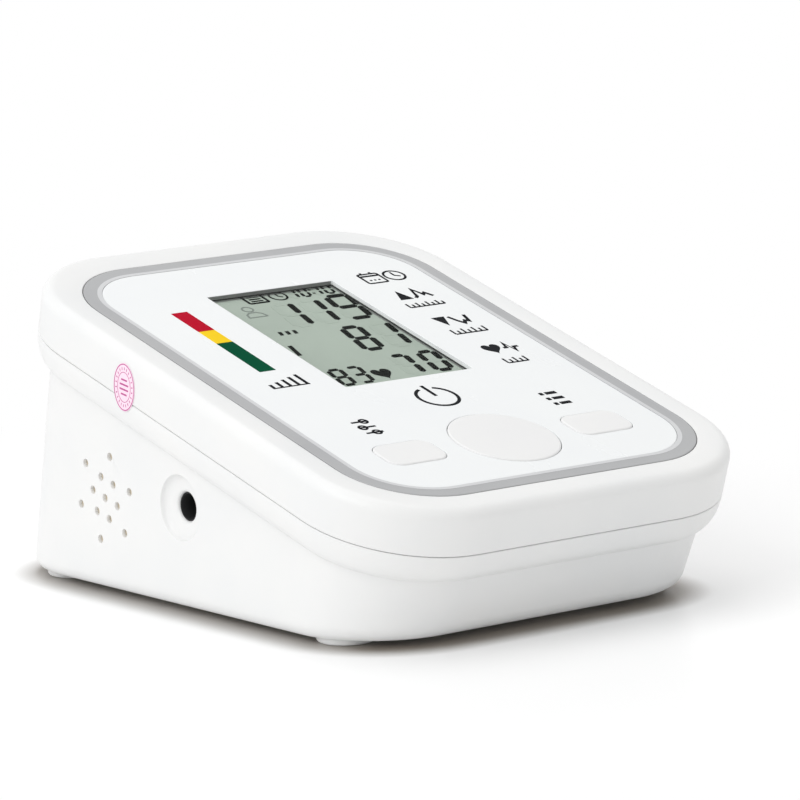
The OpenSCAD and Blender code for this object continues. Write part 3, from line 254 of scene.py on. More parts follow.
def make_finishes():
    """Name, colour, second colour, roughness range, then grains per metre and their depth in mm."""
    gloss = dict(Coat_Weight=0.08, Coat_Roughness=0.15, Specular_IOR_Level=0.35)
    flat = dict(IOR=1.03)
    finish("body_white", (235, 235, 234), (231, 232, 232), (0.30, 0.40), (1600, 0.006), **gloss)
    finish("key_white", (234, 234, 233), (231, 231, 231), (0.34, 0.44), (1800, 0.006), **gloss)
    finish("panel_white", (238, 240, 240), (236, 238, 239), (0.20, 0.28), (700, 0.002), IOR=1.25)
    finish("foot_white", (222, 222, 221), (212, 212, 211), (0.60, 0.75), (1400, 0.020))
    finish("ring_grey", (171, 172, 173), (163, 164, 166), (0.28, 0.36), (2200, 0.003), Metallic=0.15)
    finish("ring_painted_highlight", (206, 207, 208), (200, 201, 203), (0.28, 0.36), (2200, 0.003), Metallic=0.1)
    finish("ring_shadow", (98, 98, 98), (88, 88, 89), (0.45, 0.55), (2200, 0.003))
    finish("window_shade_grey", (128, 130, 128), (118, 120, 118), (0.40, 0.50), (2200, 0.003))
    finish("clear_pane", (206, 212, 208), (198, 206, 202), (0.04, 0.08), (300, 0.0005), Alpha=0.012, **flat)
    finish("inner_ivory", (226, 222, 210), (218, 213, 200), (0.40, 0.52), (1500, 0.010))
    finish("chip_black", (34, 34, 36), (26, 26, 28), (0.42, 0.55), (3500, 0.006))
    finish("dark_plastic", (44, 45, 48), (36, 37, 40), (0.32, 0.46), (2000, 0.010))
    finish("soft_black", (30, 30, 31), (22, 22, 23), (0.55, 0.70), (1500, 0.012))
    finish("steel", (196, 198, 200), (178, 180, 184), (0.22, 0.34), (2600, 0.004), (1, 1, 0.1), Metallic=1.0)
    finish("tube_clear", (226, 230, 226), (214, 219, 214), (0.14, 0.24), (900, 0.006), Alpha=0.62, IOR=1.42)
    finish("lead_red", (176, 30, 34), (160, 24, 30), (0.34, 0.44), (1800, 0.006))
    patterned(finish("grille_cloth", (206, 194, 172), (192, 180, 158), (0.80, 0.90), (1400, 0.02)),
              fibres, (168, 154, 130))
    patterned(finish("foam_black", (58, 59, 58), (44, 45, 44), (0.85, 0.95), (1400, 0.08)),
              pores, (30, 31, 30))
    patterned(finish("strip_pink", (226, 150, 160), (216, 138, 150), (0.55, 0.65), (2500, 0.004)),
              wound_wire, (70, 60, 62))
    patterned(finish("board_green", (22, 92, 58), (18, 82, 52), (0.28, 0.36), (1800, 0.010)),
              copper_tracks, (38, 122, 78))
    patterned(finish("copper_coil", (184, 108, 62), (166, 94, 52), (0.24, 0.34), (2000, 0.010), Metallic=0.9),
              wound_wire, (112, 60, 34))
    patterned(finish("cell_sleeve", (122, 136, 148), (112, 126, 140), (0.18, 0.28), (500, 0.004)),
              sleeve_end, (204, 206, 208))
    patterned(finish("seal_paper", (250, 226, 238), (246, 218, 233), (0.45, 0.60), (1500, 0.006)),
              fibres, (240, 206, 226))
    finish("ink_black", (34, 35, 37), (44, 45, 48), (0.38, 0.50), (2500, 0.004), **flat)
    for name, colour, tint in (("ink_red", (184, 22, 46), (176, 18, 42)),
                               ("ink_yellow", (244, 208, 44), (240, 200, 38)),
                               ("ink_green", (6, 80, 54), (4, 74, 48))):
        finish(name, colour, tint, (0.30, 0.42), (2500, 0.004), **flat)
    finish("ink_pink", (206, 110, 168), (186, 84, 146), (0.45, 0.60), (2500, 0.004), **flat)
    finish("display_glass", (174, 186, 175), (166, 177, 167), (0.30, 0.38), (3000, 0.001), **flat)
    for name, colour, tint in (("lcd_dark", (13, 15, 13), (18, 20, 18)),
                               ("lcd_faint", (172, 184, 173), (164, 175, 165)),
                               ("lcd_grey", (128, 136, 130), (134, 142, 136))):
        finish(name, colour, tint, (0.30, 0.40), (3000, 0.001), **flat)


make_finishes()


# ---- outlines and solids

def rounded(w, l, r, centre=(0.0, 0.0), steps=14):
    """Rectangle with round corners, counter-clockwise, with a point close to each end of every straight."""
    points = []
    for cx, cy, start in ((1, 1, 0), (-1, 1, 90), (-1, -1, 180), (1, -1, 270)):
        x, y = cx * (w / 2 - r), cy * (l / 2 - r)
        arc = []
        for i in range(steps + 1):
            a = math.radians(start + 90 * i / steps)
            arc.append((x + r * math.cos(a), y + r * math.sin(a)))
        a = math.radians(start)
        near = min(0.6, (l if cx * cy > 0 else w) / 2 - r)
        far = min(0.6, (w if cx * cy > 0 else l) / 2 - r)
        points.append((arc[0][0] + near * math.sin(a), arc[0][1] - near * math.cos(a)))
        points += arc
        points.append((arc[-1][0] - far * math.cos(a), arc[-1][1] - far * math.sin(a)))
    return [(px + centre[0], py + centre[1]) for px, py in points]


def circle(r, centre=(0.0, 0.0), sides=72):
    turn = [2 * math.pi * i / sides for i in range(sides)]
    return [(centre[0] + r * math.cos(a), centre[1] + r * math.sin(a)) for a in turn]


def at(points, n):
    return [Vector((x, y, n)) for x, y in points]


class Solid:
    """Closed forms gathered into one mesh, in millimetres."""

    def __init__(self):
        self.points = []
        self.faces = []

    def ring(self, points):
        start = len(self.points)
        self.points += [Vector(p) for p in points]
        return list(range(start, start + len(points)))

    def bridge(self, a, b):
        count = len(a)
        for i in range(count):
            j = (i + 1) % count
            self.faces.append((a[i], a[j], b[j], b[i]))

    def loft(self, rings, place=FLAT):
        """A skin through rings of equal count, closed at both ends."""
        made = [self.ring([place @ p for p in ring]) for ring in rings]
        for a, b in zip(made, made[1:]):
            self.bridge(a, b)
        self.faces += [tuple(made[0]), tuple(made[-1])]
        return self

    def shell(self, loops, place=FLAT):
        """A plate: each loop is a list of rings from the top face to the bottom one, the outer loop first."""
        ends = ([], [])
        for rings in loops:
            made = [self.ring([place @ p for p in ring]) for ring in rings]
            for a, b in zip(made, made[1:]):
                self.bridge(a, b)
            ends[0].append((rings[0], made[0]))
            ends[1].append((rings[-1], made[-1]))
        for end in ends:
            index = [i for _, made in end for i in made]
            for triangle in tessellate_polygon([ring for ring, _ in end]):
                self.faces.append(tuple(index[i] for i in triangle))
        return self

    def lathe(self, profile, place=FLAT, sides=64):
        """Turns (radius, height) points about the local Z axis; a radius of 0 closes an end."""
        made = []
        for r, h in profile:
            if r == 0:
                made.append(self.ring([place @ Vector((0, 0, h))]))
            else:
                made.append(self.ring([place @ p for p in at(circle(r, sides=sides), h)]))
        for a, b in zip(made, made[1:]):
            if len(a) == 1 or len(b) == 1:
                tip, rim = (a[0], b) if len(a) == 1 else (b[0], a)
                for i in range(len(rim)):
                    self.faces.append((tip, rim[i], rim[(i + 1) % len(rim)]))
            else:
                self.bridge(a, b)
        if profile[0][0] > 0 and profile[-1][0] > 0:
            self.bridge(made[-1], made[0])
        return self

    def rod(self, r, low, high, place=FLAT, sides=48):
        return self.lathe([(0, low), (r, low), (r, high), (0, high)], place, sides)

    def block(self, low, high, place=FLAT):
        (x0, y0, z0), (x1, y1, z1) = low, high
        square = [(x0, y0), (x1, y0), (x1, y1), (x0, y1)]
        return self.loft([at(square, z0), at(square, z1)], place)

    def prism(self, outline, low, high, place=FLAT):
        return self.loft([at(outline, low), at(outline, high)], place)

    def ribbon(self, points, width, low, high, place=FLAT, closed=False):
        """A flat line of even width, mitred at its turns."""
        points = [Vector(p) for p in points]
        count = len(points)
        left, right = [], []
        for i, p in enumerate(points):
            ways = []
            if i > 0 or closed:
                ways.append((p - points[i - 1]).normalized())
            if i < count - 1 or closed:
                ways.append((points[(i + 1) % count] - p).normalized())
            sides = [Vector((-w.y, w.x)) for w in ways]
            side = sum(sides, Vector((0, 0))).normalized()
            reach = width / 2 / max(0.5, side.dot(sides[0]))
            left.append(p + side * reach)
            right.append(p - side * reach)
        if closed:
            return self.shell([[at(left, high), at(left, low)], [at(right, high), at(right, low)]], place)
        return self.prism(right + left[::-1], low, high, place)

    def mesh(self, name):
        mesh = bpy.data.meshes.new(name)
        mesh.from_pydata([p * MM for p in self.points], [], self.faces)
        shape = bmesh.new()
        shape.from_mesh(mesh)
        bmesh.ops.remove_doubles(shape, verts=shape.verts, dist=1e-7)
        bmesh.ops.recalc_face_normals(shape, faces=shape.faces)
        shape.to_mesh(mesh)
        shape.free()
        return mesh


def show(name, data):
    thing = bpy.data.objects.new(name, data)
    bpy.context.scene.collection.objects.link(thing)
    return thing


def baked(thing):
    """The plain mesh of an object with its modifiers; the object itself goes."""
    bpy.context.view_layer.update()
    ready = thing.evaluated_get(bpy.context.evaluated_depsgraph_get())
    mesh = bpy.data.meshes.new_from_object(ready)
    old = thing.data
    bpy.data.objects.remove(thing)
    bpy.data.meshes.remove(old)
    return mesh


def split_faces(mesh):
    """Cuts every face into triangles, which are flat."""
    shape = bmesh.new()
    shape.from_mesh(mesh)
    bmesh.ops.triangulate(shape, faces=shape.faces)
    shape.to_mesh(mesh)
    shape.free()


def carve(mesh, tools):
    """Unites or subtracts other meshes, one after the other."""
    for operation, tool in tools:
        split_faces(mesh)
        split_faces(tool)
        work, cutter = show("work", mesh), show("cutter", tool)
        change = work.modifiers.new("carve", "BOOLEAN")
        change.operation, change.solver, change.object = operation, "EXACT", cutter
        change.use_self = operation == "UNION"
        mesh = baked(work)
        bpy.data.objects.remove(cutter)
        bpy.data.meshes.remove(tool)
    return mesh


def piece(name, form, material, body=HOUSING, stands_for=(), smooth=32):
    """Shows a finished solid or mesh, shades it and ties it to its body and its finish."""
    mesh = form.mesh(name) if isinstance(form, Solid) else form
    mesh.materials.clear()
    mesh.materials.append(FINISH[material])
    mesh.polygons.foreach_set("material_index", [0] * len(mesh.polygons))
    mesh.polygons.foreach_set("use_smooth", [True] * len(mesh.polygons))
    mesh.set_sharp_from_angle(angle=math.radians(smooth))
    thing = show(name, mesh)
    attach(thing, body)
    if stands_for:
        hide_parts(*stands_for)


# ---- repeated forms

def repeat_tree(name, inputs):
    """An empty tree with the named inputs that every repeat has, and its own ones."""
    tree = bpy.data.node_groups.new(name, "GeometryNodeTree")
    common = [("Form", "NodeSocketObject"), ("Count", "NodeSocketInt"), ("Finish", "NodeSocketMaterial")]
    for label, kind in common + inputs:
        tree.interface.new_socket(label, in_out="INPUT", socket_type=kind)
    tree.interface.new_socket("Geometry", in_out="OUTPUT", socket_type="NodeSocketGeometry")
    return tree, tree.nodes.new("NodeGroupInput").outputs


def copies(tree, given, inputs):
    """Sets the form on points."""
    form = add(tree, "GeometryNodeObjectInfo", {"Object": given["Form"]})
    copied = add(tree, "GeometryNodeInstanceOnPoints", {"Instance": form.outputs["Geometry"], **inputs})
    return copied.outputs["Instances"]


def finish_tree(tree, given, instances):
    real = add(tree, "GeometryNodeRealizeInstances", {"Geometry": instances})
    paint = add(tree, "GeometryNodeSetMaterial", {
        "Geometry": real.outputs["Geometry"], "Material": given["Finish"]})
    add(tree, "NodeGroupOutput", {"Geometry": paint.outputs["Geometry"]})
    return tree


def make_ring_tree():
    """Copies of a form on a circle, each turned to face outwards."""
    tree, given = repeat_tree("Ring of copies", [("Radius", "NodeSocketFloat"), ("Turn", "NodeSocketFloat")])
    ring = add(tree, "GeometryNodeMeshCircle", {"Vertices": given["Count"], "Radius": given["Radius"]})
    share = maths(tree, "DIVIDE", add(tree, "GeometryNodeInputIndex").outputs["Index"], given["Count"])
    outwards = add(tree, "ShaderNodeCombineXYZ", {"Z": maths(tree, "MULTIPLY", share, 2 * math.pi)})
    placed = copies(tree, given, {"Points": ring.outputs["Mesh"], "Rotation": outwards.outputs["Vector"]})
    whole = add(tree, "ShaderNodeCombineXYZ", {"Z": given["Turn"]})
    turned = add(tree, "GeometryNodeTransform", {"Geometry": placed, "Rotation": whole.outputs["Vector"]})
    return finish_tree(tree, given, turned.outputs["Geometry"])


def make_row_tree():
    """Copies of a form in a straight row."""
    tree, given = repeat_tree("Row of copies", [("Step", "NodeSocketVector")])
    row = add(tree, "GeometryNodeMeshLine", {"Count": given["Count"], "Offset": given["Step"]})
    return finish_tree(tree, given, copies(tree, given, {"Points": row.outputs["Mesh"]}))


RING_TREE = make_ring_tree()
ROW_TREE = make_row_tree()


def in_metres(place):
    return Matrix.Translation(place.translation * MM) @ place.to_3x3().to_4x4()


def repeated(tree, form, material, place=FLAT, **inputs):
    """Runs a tree on a form and gives the plain mesh, moved to its place (in millimetres)."""
    pattern = show("pattern", form)
    carrier = show("carrier", bpy.data.meshes.new("carrier"))
    change = carrier.modifiers.new("repeat", "NODES")
    change.node_group = tree
    values = dict(inputs, Form=pattern, Finish=FINISH[material])
    for socket in tree.interface.items_tree:
        if socket.in_out == "INPUT":
            change[socket.identifier] = values[socket.name]
    mesh = baked(carrier)
    bpy.data.objects.remove(pattern)
    mesh.transform(in_metres(place))
    return mesh


def joined(name, meshes):
    """One mesh from several."""
    whole = bmesh.new()
    for mesh in meshes:
        whole.from_mesh(mesh)
        bpy.data.meshes.remove(mesh)
    mesh = bpy.data.meshes.new(name)
    whole.to_mesh(mesh)
    whole.free()
    return mesh


# ---- case

def fillet(r, steps=5):
    """(inset, drop) along a quarter round, from the flat top to the upright side."""
    turn = [math.radians(90 * i / steps) for i in range(steps + 1)]
    return [(r * (1 - math.sin(a)), r * (1 - math.cos(a))) for a in turn]


def rim(inset, n):
    return at(rounded(RIM_W - 2 * inset, RIM_L - 2 * inset, RIM_R - inset, (0, RIM_SHIFT)), n)


def on_panel(u, v, n=0):
    return PANEL @ Matrix.Translation((u, v, n))


def edge_rings(w, l, r, soft, top, low, side=-1, centre=(0.0, 0.0), steps=14):
    """Rings down an edge with a soft top; side is -1 for an outer edge and 1 for an opening."""
    def ring(inset, n):
        grow = side * inset
        return at(rounded(w + 2 * grow, l + 2 * grow, r + grow, centre, steps), n)

    curve = [ring(inset, top - drop) for inset, drop in fillet(soft, 3)]
    return [ring(soft + 0.3, top)] + curve + [ring(0, low)]


def key_openings(gap, top, low, soft):
    r, centre = START_D / 2 + gap, (0, KEYS_V)
    start_hole = [at(circle(r + soft + 0.3, centre), top)]
    start_hole += [at(circle(r + inset, centre), top - drop) for inset, drop in fillet(soft, 3)]
    start_hole.append(at(circle(r, centre), low))
    small_holes = [edge_rings(SMALL_W + 2 * gap, SMALL_L + 2 * gap, SMALL_R + gap, soft, top, low, 1,
                              (side * SMALL_U, KEYS_V), 8) for side in (-1, 1)]
    return [start_hole] + small_holes


def make_cover():
    ring_gap, lip, edge = 0.16, 0.2, 0.2
    recess = edge_rings(RING_W + 2 * ring_gap, RING_L + 2 * ring_gap, RING_R + ring_gap, lip, 0, -PANEL_T, 1)
    loop = recess[:0:-1]
    loop.append(rim(RIM_ROUND + 0.5, 0))
    loop += [rim(inset, -drop) for inset, drop in fillet(RIM_ROUND, 9)]
    loop.append(rim(0.03, -RIM_ROUND - 0.8))
    loop += [rim(SKIRT_DRAFT + inset, -SKIRT_H + drop) for inset, drop in reversed(fillet(edge, 3))]
    loop += [rim(SKIRT_DRAFT + WALL, -SKIRT_H), rim(SKIRT_DRAFT + WALL, SEAT_LOW)]
    soft, gasket_room = 0.1, 4.4
    holes = key_openings(KEY_GAP, -PANEL_T, SEAT_LOW, soft)
    holes.append(edge_rings(WINDOW_W + gasket_room, WINDOW_L + gasket_room, 0.8, soft, -PANEL_T, SEAT_LOW, 1,
                            (0, WINDOW_V), 8))
    cover = Solid().shell([loop] + holes, PANEL)
    # bosses for the case screws and the board screws, with their bores
    high = SEAT_LOW + 0.5
    for spots, bore, r, low in ((SCREW_SPOTS, 1.47, 3.35, POST_TOP_N + 0.1), (BOARD_SPOTS, 1.12, 2.6, -9.6)):
        for u, v in spots:
            cover.lathe([(bore, low), (r, low), (r, high), (bore, high)], on_panel(u, v), 32)
    piece("cover_shell", cover, "body_white", stands_for=["top_cover"])


def sloped(inset, n):
    """The rim's outline at a level of the panel, drawn in."""
    return [PANEL @ p for p in rim(inset, n)]


def wall_y(v, lean, z):
    """Front-to-back place of a base wall at a level, in the row frame."""
    sin, cos = math.sin(TILT), math.cos(TILT)
    depth = (middle.z + v * sin + NOTCH_N * cos - z) / (cos - lean * sin)
    return middle.y + (v + lean * depth) * cos + (depth - NOTCH_N) * sin


def level(inset, z):
    """The base's outline at a level, drawn in."""
    half_l = RIM_L / 2 - SKIRT_DRAFT - LIP_INSET
    front = wall_y(RIM_SHIFT - half_l, FRONT_LEAN, z) + inset
    back = wall_y(RIM_SHIFT + half_l, BACK_LEAN, z) - inset
    r = RIM_R - SKIRT_DRAFT - LIP_INSET - inset
    return at(rounded(2 * (BASE_HALF_W - inset), back - front, r, (0, (front + back) / 2)), z)


def lip(inset, a):
    """The rolled lip under the parting line: a is 0 at the line and 90 at the notch below it."""
    turn = math.radians(a)
    n = PARTING_N + (NOTCH_N - PARTING_N) * math.sin(turn)
    return sloped(SKIRT_DRAFT + inset + LIP_INSET * (1 - math.cos(turn)), n)


def cut_at(low, high, n):
    """Where the straight lines between two rings cross a plane level with the panel."""
    flat = PANEL.inverted()
    ring = []
    for a, b in zip(low, high):
        start, end = (flat @ a).z, (flat @ b).z
        ring.append(a.lerp(b, (n - start) / (end - start)))
    return ring


def base_skin():
    """The base's outer skin, up over the lip and the locating tongue, and down the inside to the floor."""
    rings = []
    for a in range(90, -1, -10):
        turn = math.radians(a)
        rings.append(level(BASE_ROUND * (1 - math.cos(turn)), FOOT_H + BASE_ROUND * (1 - math.sin(turn))))
    foot_of_wall = rings[-1]
    head_of_wall = sloped(SKIRT_DRAFT + LIP_INSET, NOTCH_N + 1.5)
    rings.append([a.lerp(b, 0.03) for a, b in zip(foot_of_wall, head_of_wall)])
    rings.append(cut_at(foot_of_wall, head_of_wall, NOTCH_N))
    rings += [lip(0, a) for a in (90, 84, 76, 68, 60, 52, 44, 36, 28, 20, 12, 5)]
    edge = 0.15
    tongue_out, tongue_in, tongue_top = WALL + SKIRT_DRAFT + 0.15, WALL + SKIRT_DRAFT + 1.3, PARTING_N + 2.5
    rings += [sloped(inset, n) for inset, n in (
        (SKIRT_DRAFT, PARTING_N - edge), (SKIRT_DRAFT + edge, PARTING_N), (tongue_out, PARTING_N),
        (tongue_out, tongue_top - 0.2), (tongue_out + 0.2, tongue_top), (tongue_in, tongue_top),
        (tongue_in, PARTING_N - 1.5))]
    shelf = math.degrees(math.asin((LIP_H - WALL) / LIP_H))
    rings += [lip(WALL, a) for a in (13.4, 26, 34, shelf)]
    shelf_n = PARTING_N + (NOTCH_N - PARTING_N) * math.sin(math.radians(shelf))
    rings.append(sloped(SKIRT_DRAFT + WALL + LIP_INSET, shelf_n))
    rings.append(level(WALL, FLOOR_Z + 1))
    rings.append(level(WALL + 0.8, FLOOR_Z))
    return Solid().loft(rings)


def along_x(x, y, z):
    return Matrix.Translation((x, y, z)) @ Matrix.Rotation(math.radians(90), 4, "Y")


def floor_n(v, z):
    """The panel coordinate n at which the height z is reached, at v."""
    return (z - middle.z - v * math.sin(TILT)) / math.cos(TILT)


def rest(solid, u, v, w, l, top):
    """A block from the floor up to what it carries."""
    low = floor_n(v, FLOOR_Z - WALL / 2)
    solid.block((u - w / 2, v - l / 2, low), (u + w / 2, v + l / 2, top), PANEL)


def inner_works():
    """Posts, boxes and rings inside the base."""
    works = Solid()
    half = BOX_HALF + BOX_WALL
    floor = FOOT_H + 0.6
    wall_x = BASE_HALF_W - WALL / 2
    post_r, dish_boss_r, saddle_w = 4.5, 8.5, 5
    for u, v in SCREW_SPOTS:
        works.rod(post_r, floor_n(v, FOOT_H + FOOT_SEAT), POST_TOP_N, on_panel(u, v), 32)
    # under the air joint, the leak valve and the exhaust valve
    rest(works, 6, -15, 5, 5, -29.5)
    rest(works, 6, -33, 4, 5, -30)
    rest(works, 28.5, -15, 13, 7, -33)
    works.block((-half, BOX_FRONT - BOX_WALL, floor), (half, BOX_BACK + BOX_WALL, BOX_TOP))
    for side in (-1, 1):
        ends = sorted((side * BOX_HALF, side * (BOX_HALF + 3.4)))
        works.block((ends[0], HINGE_Y - 3, floor), (ends[1], HINGE_Y + 3, HINGE_Z + 3))
    for x in (6, 20):
        works.block((x, PUMP_Y - 10, BOX_TOP - 1), (x + saddle_w, PUMP_Y + 10, PUMP_Z - 6))
    works.block((STRAP_X - 3, PUMP_Y - STRAP_SCREW_Y - 3, BOX_TOP - 1),
                (STRAP_X + 3, PUMP_Y + STRAP_SCREW_Y + 3, PUMP_Z))
    works.rod(SPEAKER_D / 2 + 1.5, 0, 7.2 - SPEAKER_X - wall_x, along_x(-wall_x, SPEAKER_Y, SPEAKER_Z))
    works.rod(dish_boss_r, 0, wall_x + SOCKET_X, along_x(-wall_x, SOCKET_Y, SOCKET_Z))
    works.block((wall_x - WALL / 2 - 10.076, INLET_Y - 6, floor), (wall_x, INLET_Y + 6, 9.35))
    return works.mesh("inner_works")


def left_wall(mesh, y, z):
    """The base's left outer face: a frame whose Z axis points into the case."""
    probe = show("probe", mesh)
    bpy.context.view_layer.update()
    hit, spot, way, _ = probe.ray_cast(Vector((-80, y, z)) * MM, Vector((1, 0, 0)))
    bpy.data.objects.remove(probe)
    inward = -way
    across = Vector((0, 1, 0))
    across = (across - inward * across.dot(inward)).normalized()
    up = inward.cross(across)
    turn = Matrix((across, up, inward)).transposed().to_4x4()
    return Matrix.Translation(spot / MM) @ turn


def grille_cutter(place):
    """Thirteen round holes with softened mouths: one, a ring of six and a wider ring of six."""
    r, soft, deep = 0.85, 0.14, 4.0
    profile = [(0, -0.6), (r + soft, -0.6), (r + soft, 0.0), (r + soft * 0.35, soft * 0.5), (r, soft * 1.4),
               (r, deep), (0, deep)]
    holes = [Solid().lathe(profile, place, 24).mesh("middle_hole")]
    for radius, turn in ((4.4, 15), (9.1, -15)):
        hole = Solid().lathe(profile, sides=24).mesh("hole")
        holes.append(repeated(RING_TREE, hole, "body_white", place, Count=6, Radius=radius * MM,
                              Turn=math.radians(turn)))
    return joined("grille_cutter", holes)


def first_cuts(dish_place, grille):
    """Seats of the feet, battery pocket, socket dish, the inlet's sunk surround and the grille."""
    cuts = Solid()
    seat_r, seat_top = FOOT_D / 2 + 0.15, FOOT_H + FOOT_SEAT
    for u, v in SCREW_SPOTS:
        cuts.lathe([(0, -1), (seat_r + 0.4, -1), (seat_r + 0.4, FOOT_H - 0.1), (seat_r, FOOT_H + 0.35),
                    (seat_r, seat_top), (0, seat_top)], foot_place(u, v))
    cuts.block((-BOX_HALF, BOX_FRONT, -1), (BOX_HALF, BOX_BACK, POCKET_TOP))
    cuts.lathe([(0, -2), (7.1, -2), (7.0, -0.02), (6.84, 0.05), (6.7, 0.22), (6.55, 0.6), (6.25, 1.0),
                (5.7, 1.3), (4.9, 1.5), (4.2, 1.6), (3.7, 1.68), (3.3, 1.85), (3.05, 2.15), (2.95, 2.6),
                (2.95, 5.4), (0, 5.4)], dish_place)
    outline = rounded(INLET_H + 4, INLET_W + 4, 2.4, steps=8)
    cuts.prism(outline, BASE_HALF_W - 0.8, BASE_HALF_W + 3, along_x(0, INLET_Y, INLET_Z))
    return joined("first_cuts", [cuts.mesh("cuts"), grille])


def second_cuts(speaker):
    """Grille pocket, screw holes, finger notch, pin holes and the seats of pump, speaker and inlet."""
    cuts = Solid()
    head_r, shank_r, pin_r, strap_screw_r = 3.1, 1.65, 0.95, 1.12
    cuts.rod(CLOTH_R, CLOTH_DEPTH, 3.4, speaker)
    for u, v in SCREW_SPOTS:
        cuts.lathe([(0, -60), (head_r, -60), (head_r, 0), (shank_r, 0), (shank_r, 5), (0, 5)],
                   on_panel(u, v, SCREW_SEAT_N), 32)
    cuts.block((-7, BOX_BACK - 1, -1), (7, BOX_BACK + 3, FOOT_H + 1.1))
    for side in (-1, 1):
        outwards = Matrix.Scale(side, 4, (0, 0, 1))
        cuts.rod(pin_r, -0.4, 2.6, along_x(side * BOX_HALF, HINGE_Y, HINGE_Z) @ outwards)
        strap_hole = Matrix.Translation((STRAP_X, PUMP_Y + side * STRAP_SCREW_Y, PUMP_Z))
        cuts.rod(strap_screw_r, -7.5, 0.5, strap_hole, 24)
    cuts.rod(MOTOR_D / 2 + 1.05, 5.5, 25.5, along_x(0, PUMP_Y, PUMP_Z))
    cuts.rod(SPEAKER_D / 2 + 0.1, 0, 20, along_x(SPEAKER_X, SPEAKER_Y, SPEAKER_Z))
    slot = rounded(INLET_H + 0.6, INLET_W + 0.6, 1.4, steps=8)
    cuts.prism(slot, BASE_HALF_W - WALL - 1, BASE_HALF_W + 3, along_x(0, INLET_Y, INLET_Z))
    return cuts.mesh("second_cuts")


def make_base():
    skin = base_skin().mesh("base_housing")
    dish = left_wall(skin, SOCKET_Y, SOCKET_Z)
    speaker = left_wall(skin, SPEAKER_Y, SPEAKER_Z)
    mesh = carve(skin, [
        ("UNION", inner_works()),
        ("DIFFERENCE", first_cuts(dish, grille_cutter(speaker))),
        ("DIFFERENCE", second_cuts(speaker)),
    ])
    piece("base_housing", mesh, "body_white", stands_for=["base_shell"], smooth=28)
    r, near = CLOTH_R - 0.1, CLOTH_DEPTH + 0.02
    cloth = Solid().lathe([(0, near), (r - 0.6, near), (r, near + 0.1), (r, near + 0.35),
                           (r - 0.8, near + 0.45), (r - 1.2, near + 0.22), (0, near + 0.22)], speaker)
    piece("grille_cloth", cloth, "grille_cloth")


def foot_place(x, v):
    """The spot on the table under a case screw, whose axis leans with the panel."""
    y = middle.y + v * math.cos(TILT) - (FOOT_H - middle.z - v * math.sin(TILT)) * math.tan(TILT)
    return Matrix.Translation((x, y, 0))


def make_feet():
    r, top = FOOT_D / 2, FOOT_H + FOOT_SEAT
    profile = [(0, 0.12), (r - 2.6, 0.12), (r - 2.3, 0), (r - 1.0, 0)]
    profile += [(r - 0.7 * (1 - math.sin(a)), 0.7 * (1 - math.cos(a)))
                for a in (math.radians(15 * i) for i in range(1, 7))]
    profile += [(r, top), (0, top)]
    feet = Solid()
    for u, v in SCREW_SPOTS:
        feet.lathe(profile, foot_place(u, v))
    piece("rubber_feet", feet, "foot_white", stands_for=["feet"])


# ---- panel and keys

def make_trim():
    edge, band, gap = 0.14, 1.0, 0.16
    w, l, r = RING_W - 2 * RING_BAND, RING_L - 2 * RING_BAND, RING_R - RING_BAND
    ring = Solid().shell([edge_rings(RING_W, RING_L, RING_R, edge, 0, -PANEL_T),
                          edge_rings(w, l, r, edge, 0, -PANEL_T, 1)], PANEL)
    piece("grey_trim", ring, "ring_grey", stands_for=["trim_ring"])
    # Painted highlight: a paler copy of the ring's grey along its inner edge stands in for light caught
    # there.
    pale = Solid().ribbon(rounded(w + band, l + band, r + band / 2), band, INK_LOW, INK_HIGH, PANEL, True)
    piece("trim_inner_edge", pale, "ring_painted_highlight")
    # Painted shade: a dark ribbon down the gap round the ring stands in for the shade in that groove.
    outline = rounded(RING_W + gap, RING_L + gap, RING_R + gap / 2)
    groove_shade = Solid().ribbon(outline, 0.13, -PANEL_T, -0.1, PANEL, True)
    piece("trim_groove", groove_shade, "ring_shadow")


def make_panel_sheet():
    w, l, r = RING_W - 2 * RING_BAND - 0.1, RING_L - 2 * RING_BAND - 0.1, RING_R - RING_BAND - 0.05
    holes = key_openings(KEY_GAP, 0, -PANEL_T, 0.08)
    holes.append(edge_rings(WINDOW_W, WINDOW_L, 0.5, 0.05, 0, -PANEL_T, 1, (0, WINDOW_V), 8))
    sheet = Solid().shell([edge_rings(w, l, r, 0.1, 0, -PANEL_T)] + holes, PANEL)
    piece("panel_sheet", sheet, "panel_white", stands_for=["face_panel"])
    head, half = WINDOW_V + WINDOW_L / 2, WINDOW_W / 2
    # Painted shade: grey strips on the window's top wall and along the display's top and right edges stand in
    # for the shade cast by the window's rim.
    shade_strips = Solid()
    shade_strips.ribbon([(-half + 0.3, head - 0.08), (half - 0.3, head - 0.08)], 0.1, -PANEL_T, -0.06, PANEL)
    shade_strips.ribbon([(-half + 0.1, head - 0.4), (half - 0.3, head - 0.4), (half - 0.3, head - WINDOW_L + 0.6)],
                  0.4, LCD_LOW, LCD_HIGH, PANEL)
    piece("window_border", shade_strips, "window_shade_grey")


def key_profile():
    """(inset, level) of a key from its crown down to the foot of its stem."""
    crown, rim_n = 0.05, KEY_PROUD - 0.02
    top = [(0.5 + 2.4 * i, rim_n + crown * (1 - (1 - i) ** 2)) for i in (1.0, 0.75, 0.5, 0.25, 0.0)]
    edge = [(inset, rim_n - drop) for inset, drop in fillet(0.4, 5)]
    return top + edge + [(0, FLANGE_TOP), (-FLANGE, FLANGE_TOP), (-FLANGE, FLANGE_LOW)]


def make_start_key():
    r = START_D / 2
    profile = [(0, KEY_PROUD + 0.05)] + [(r - inset, n) for inset, n in key_profile()]
    profile += [(STEM_R, FLANGE_LOW), (STEM_R, STEM_LOW), (0, STEM_LOW)]
    key = Solid().lathe(profile, on_panel(0, KEYS_V), 96)
    piece("start_button", key, "key_white", "start_key", ["start_key"])


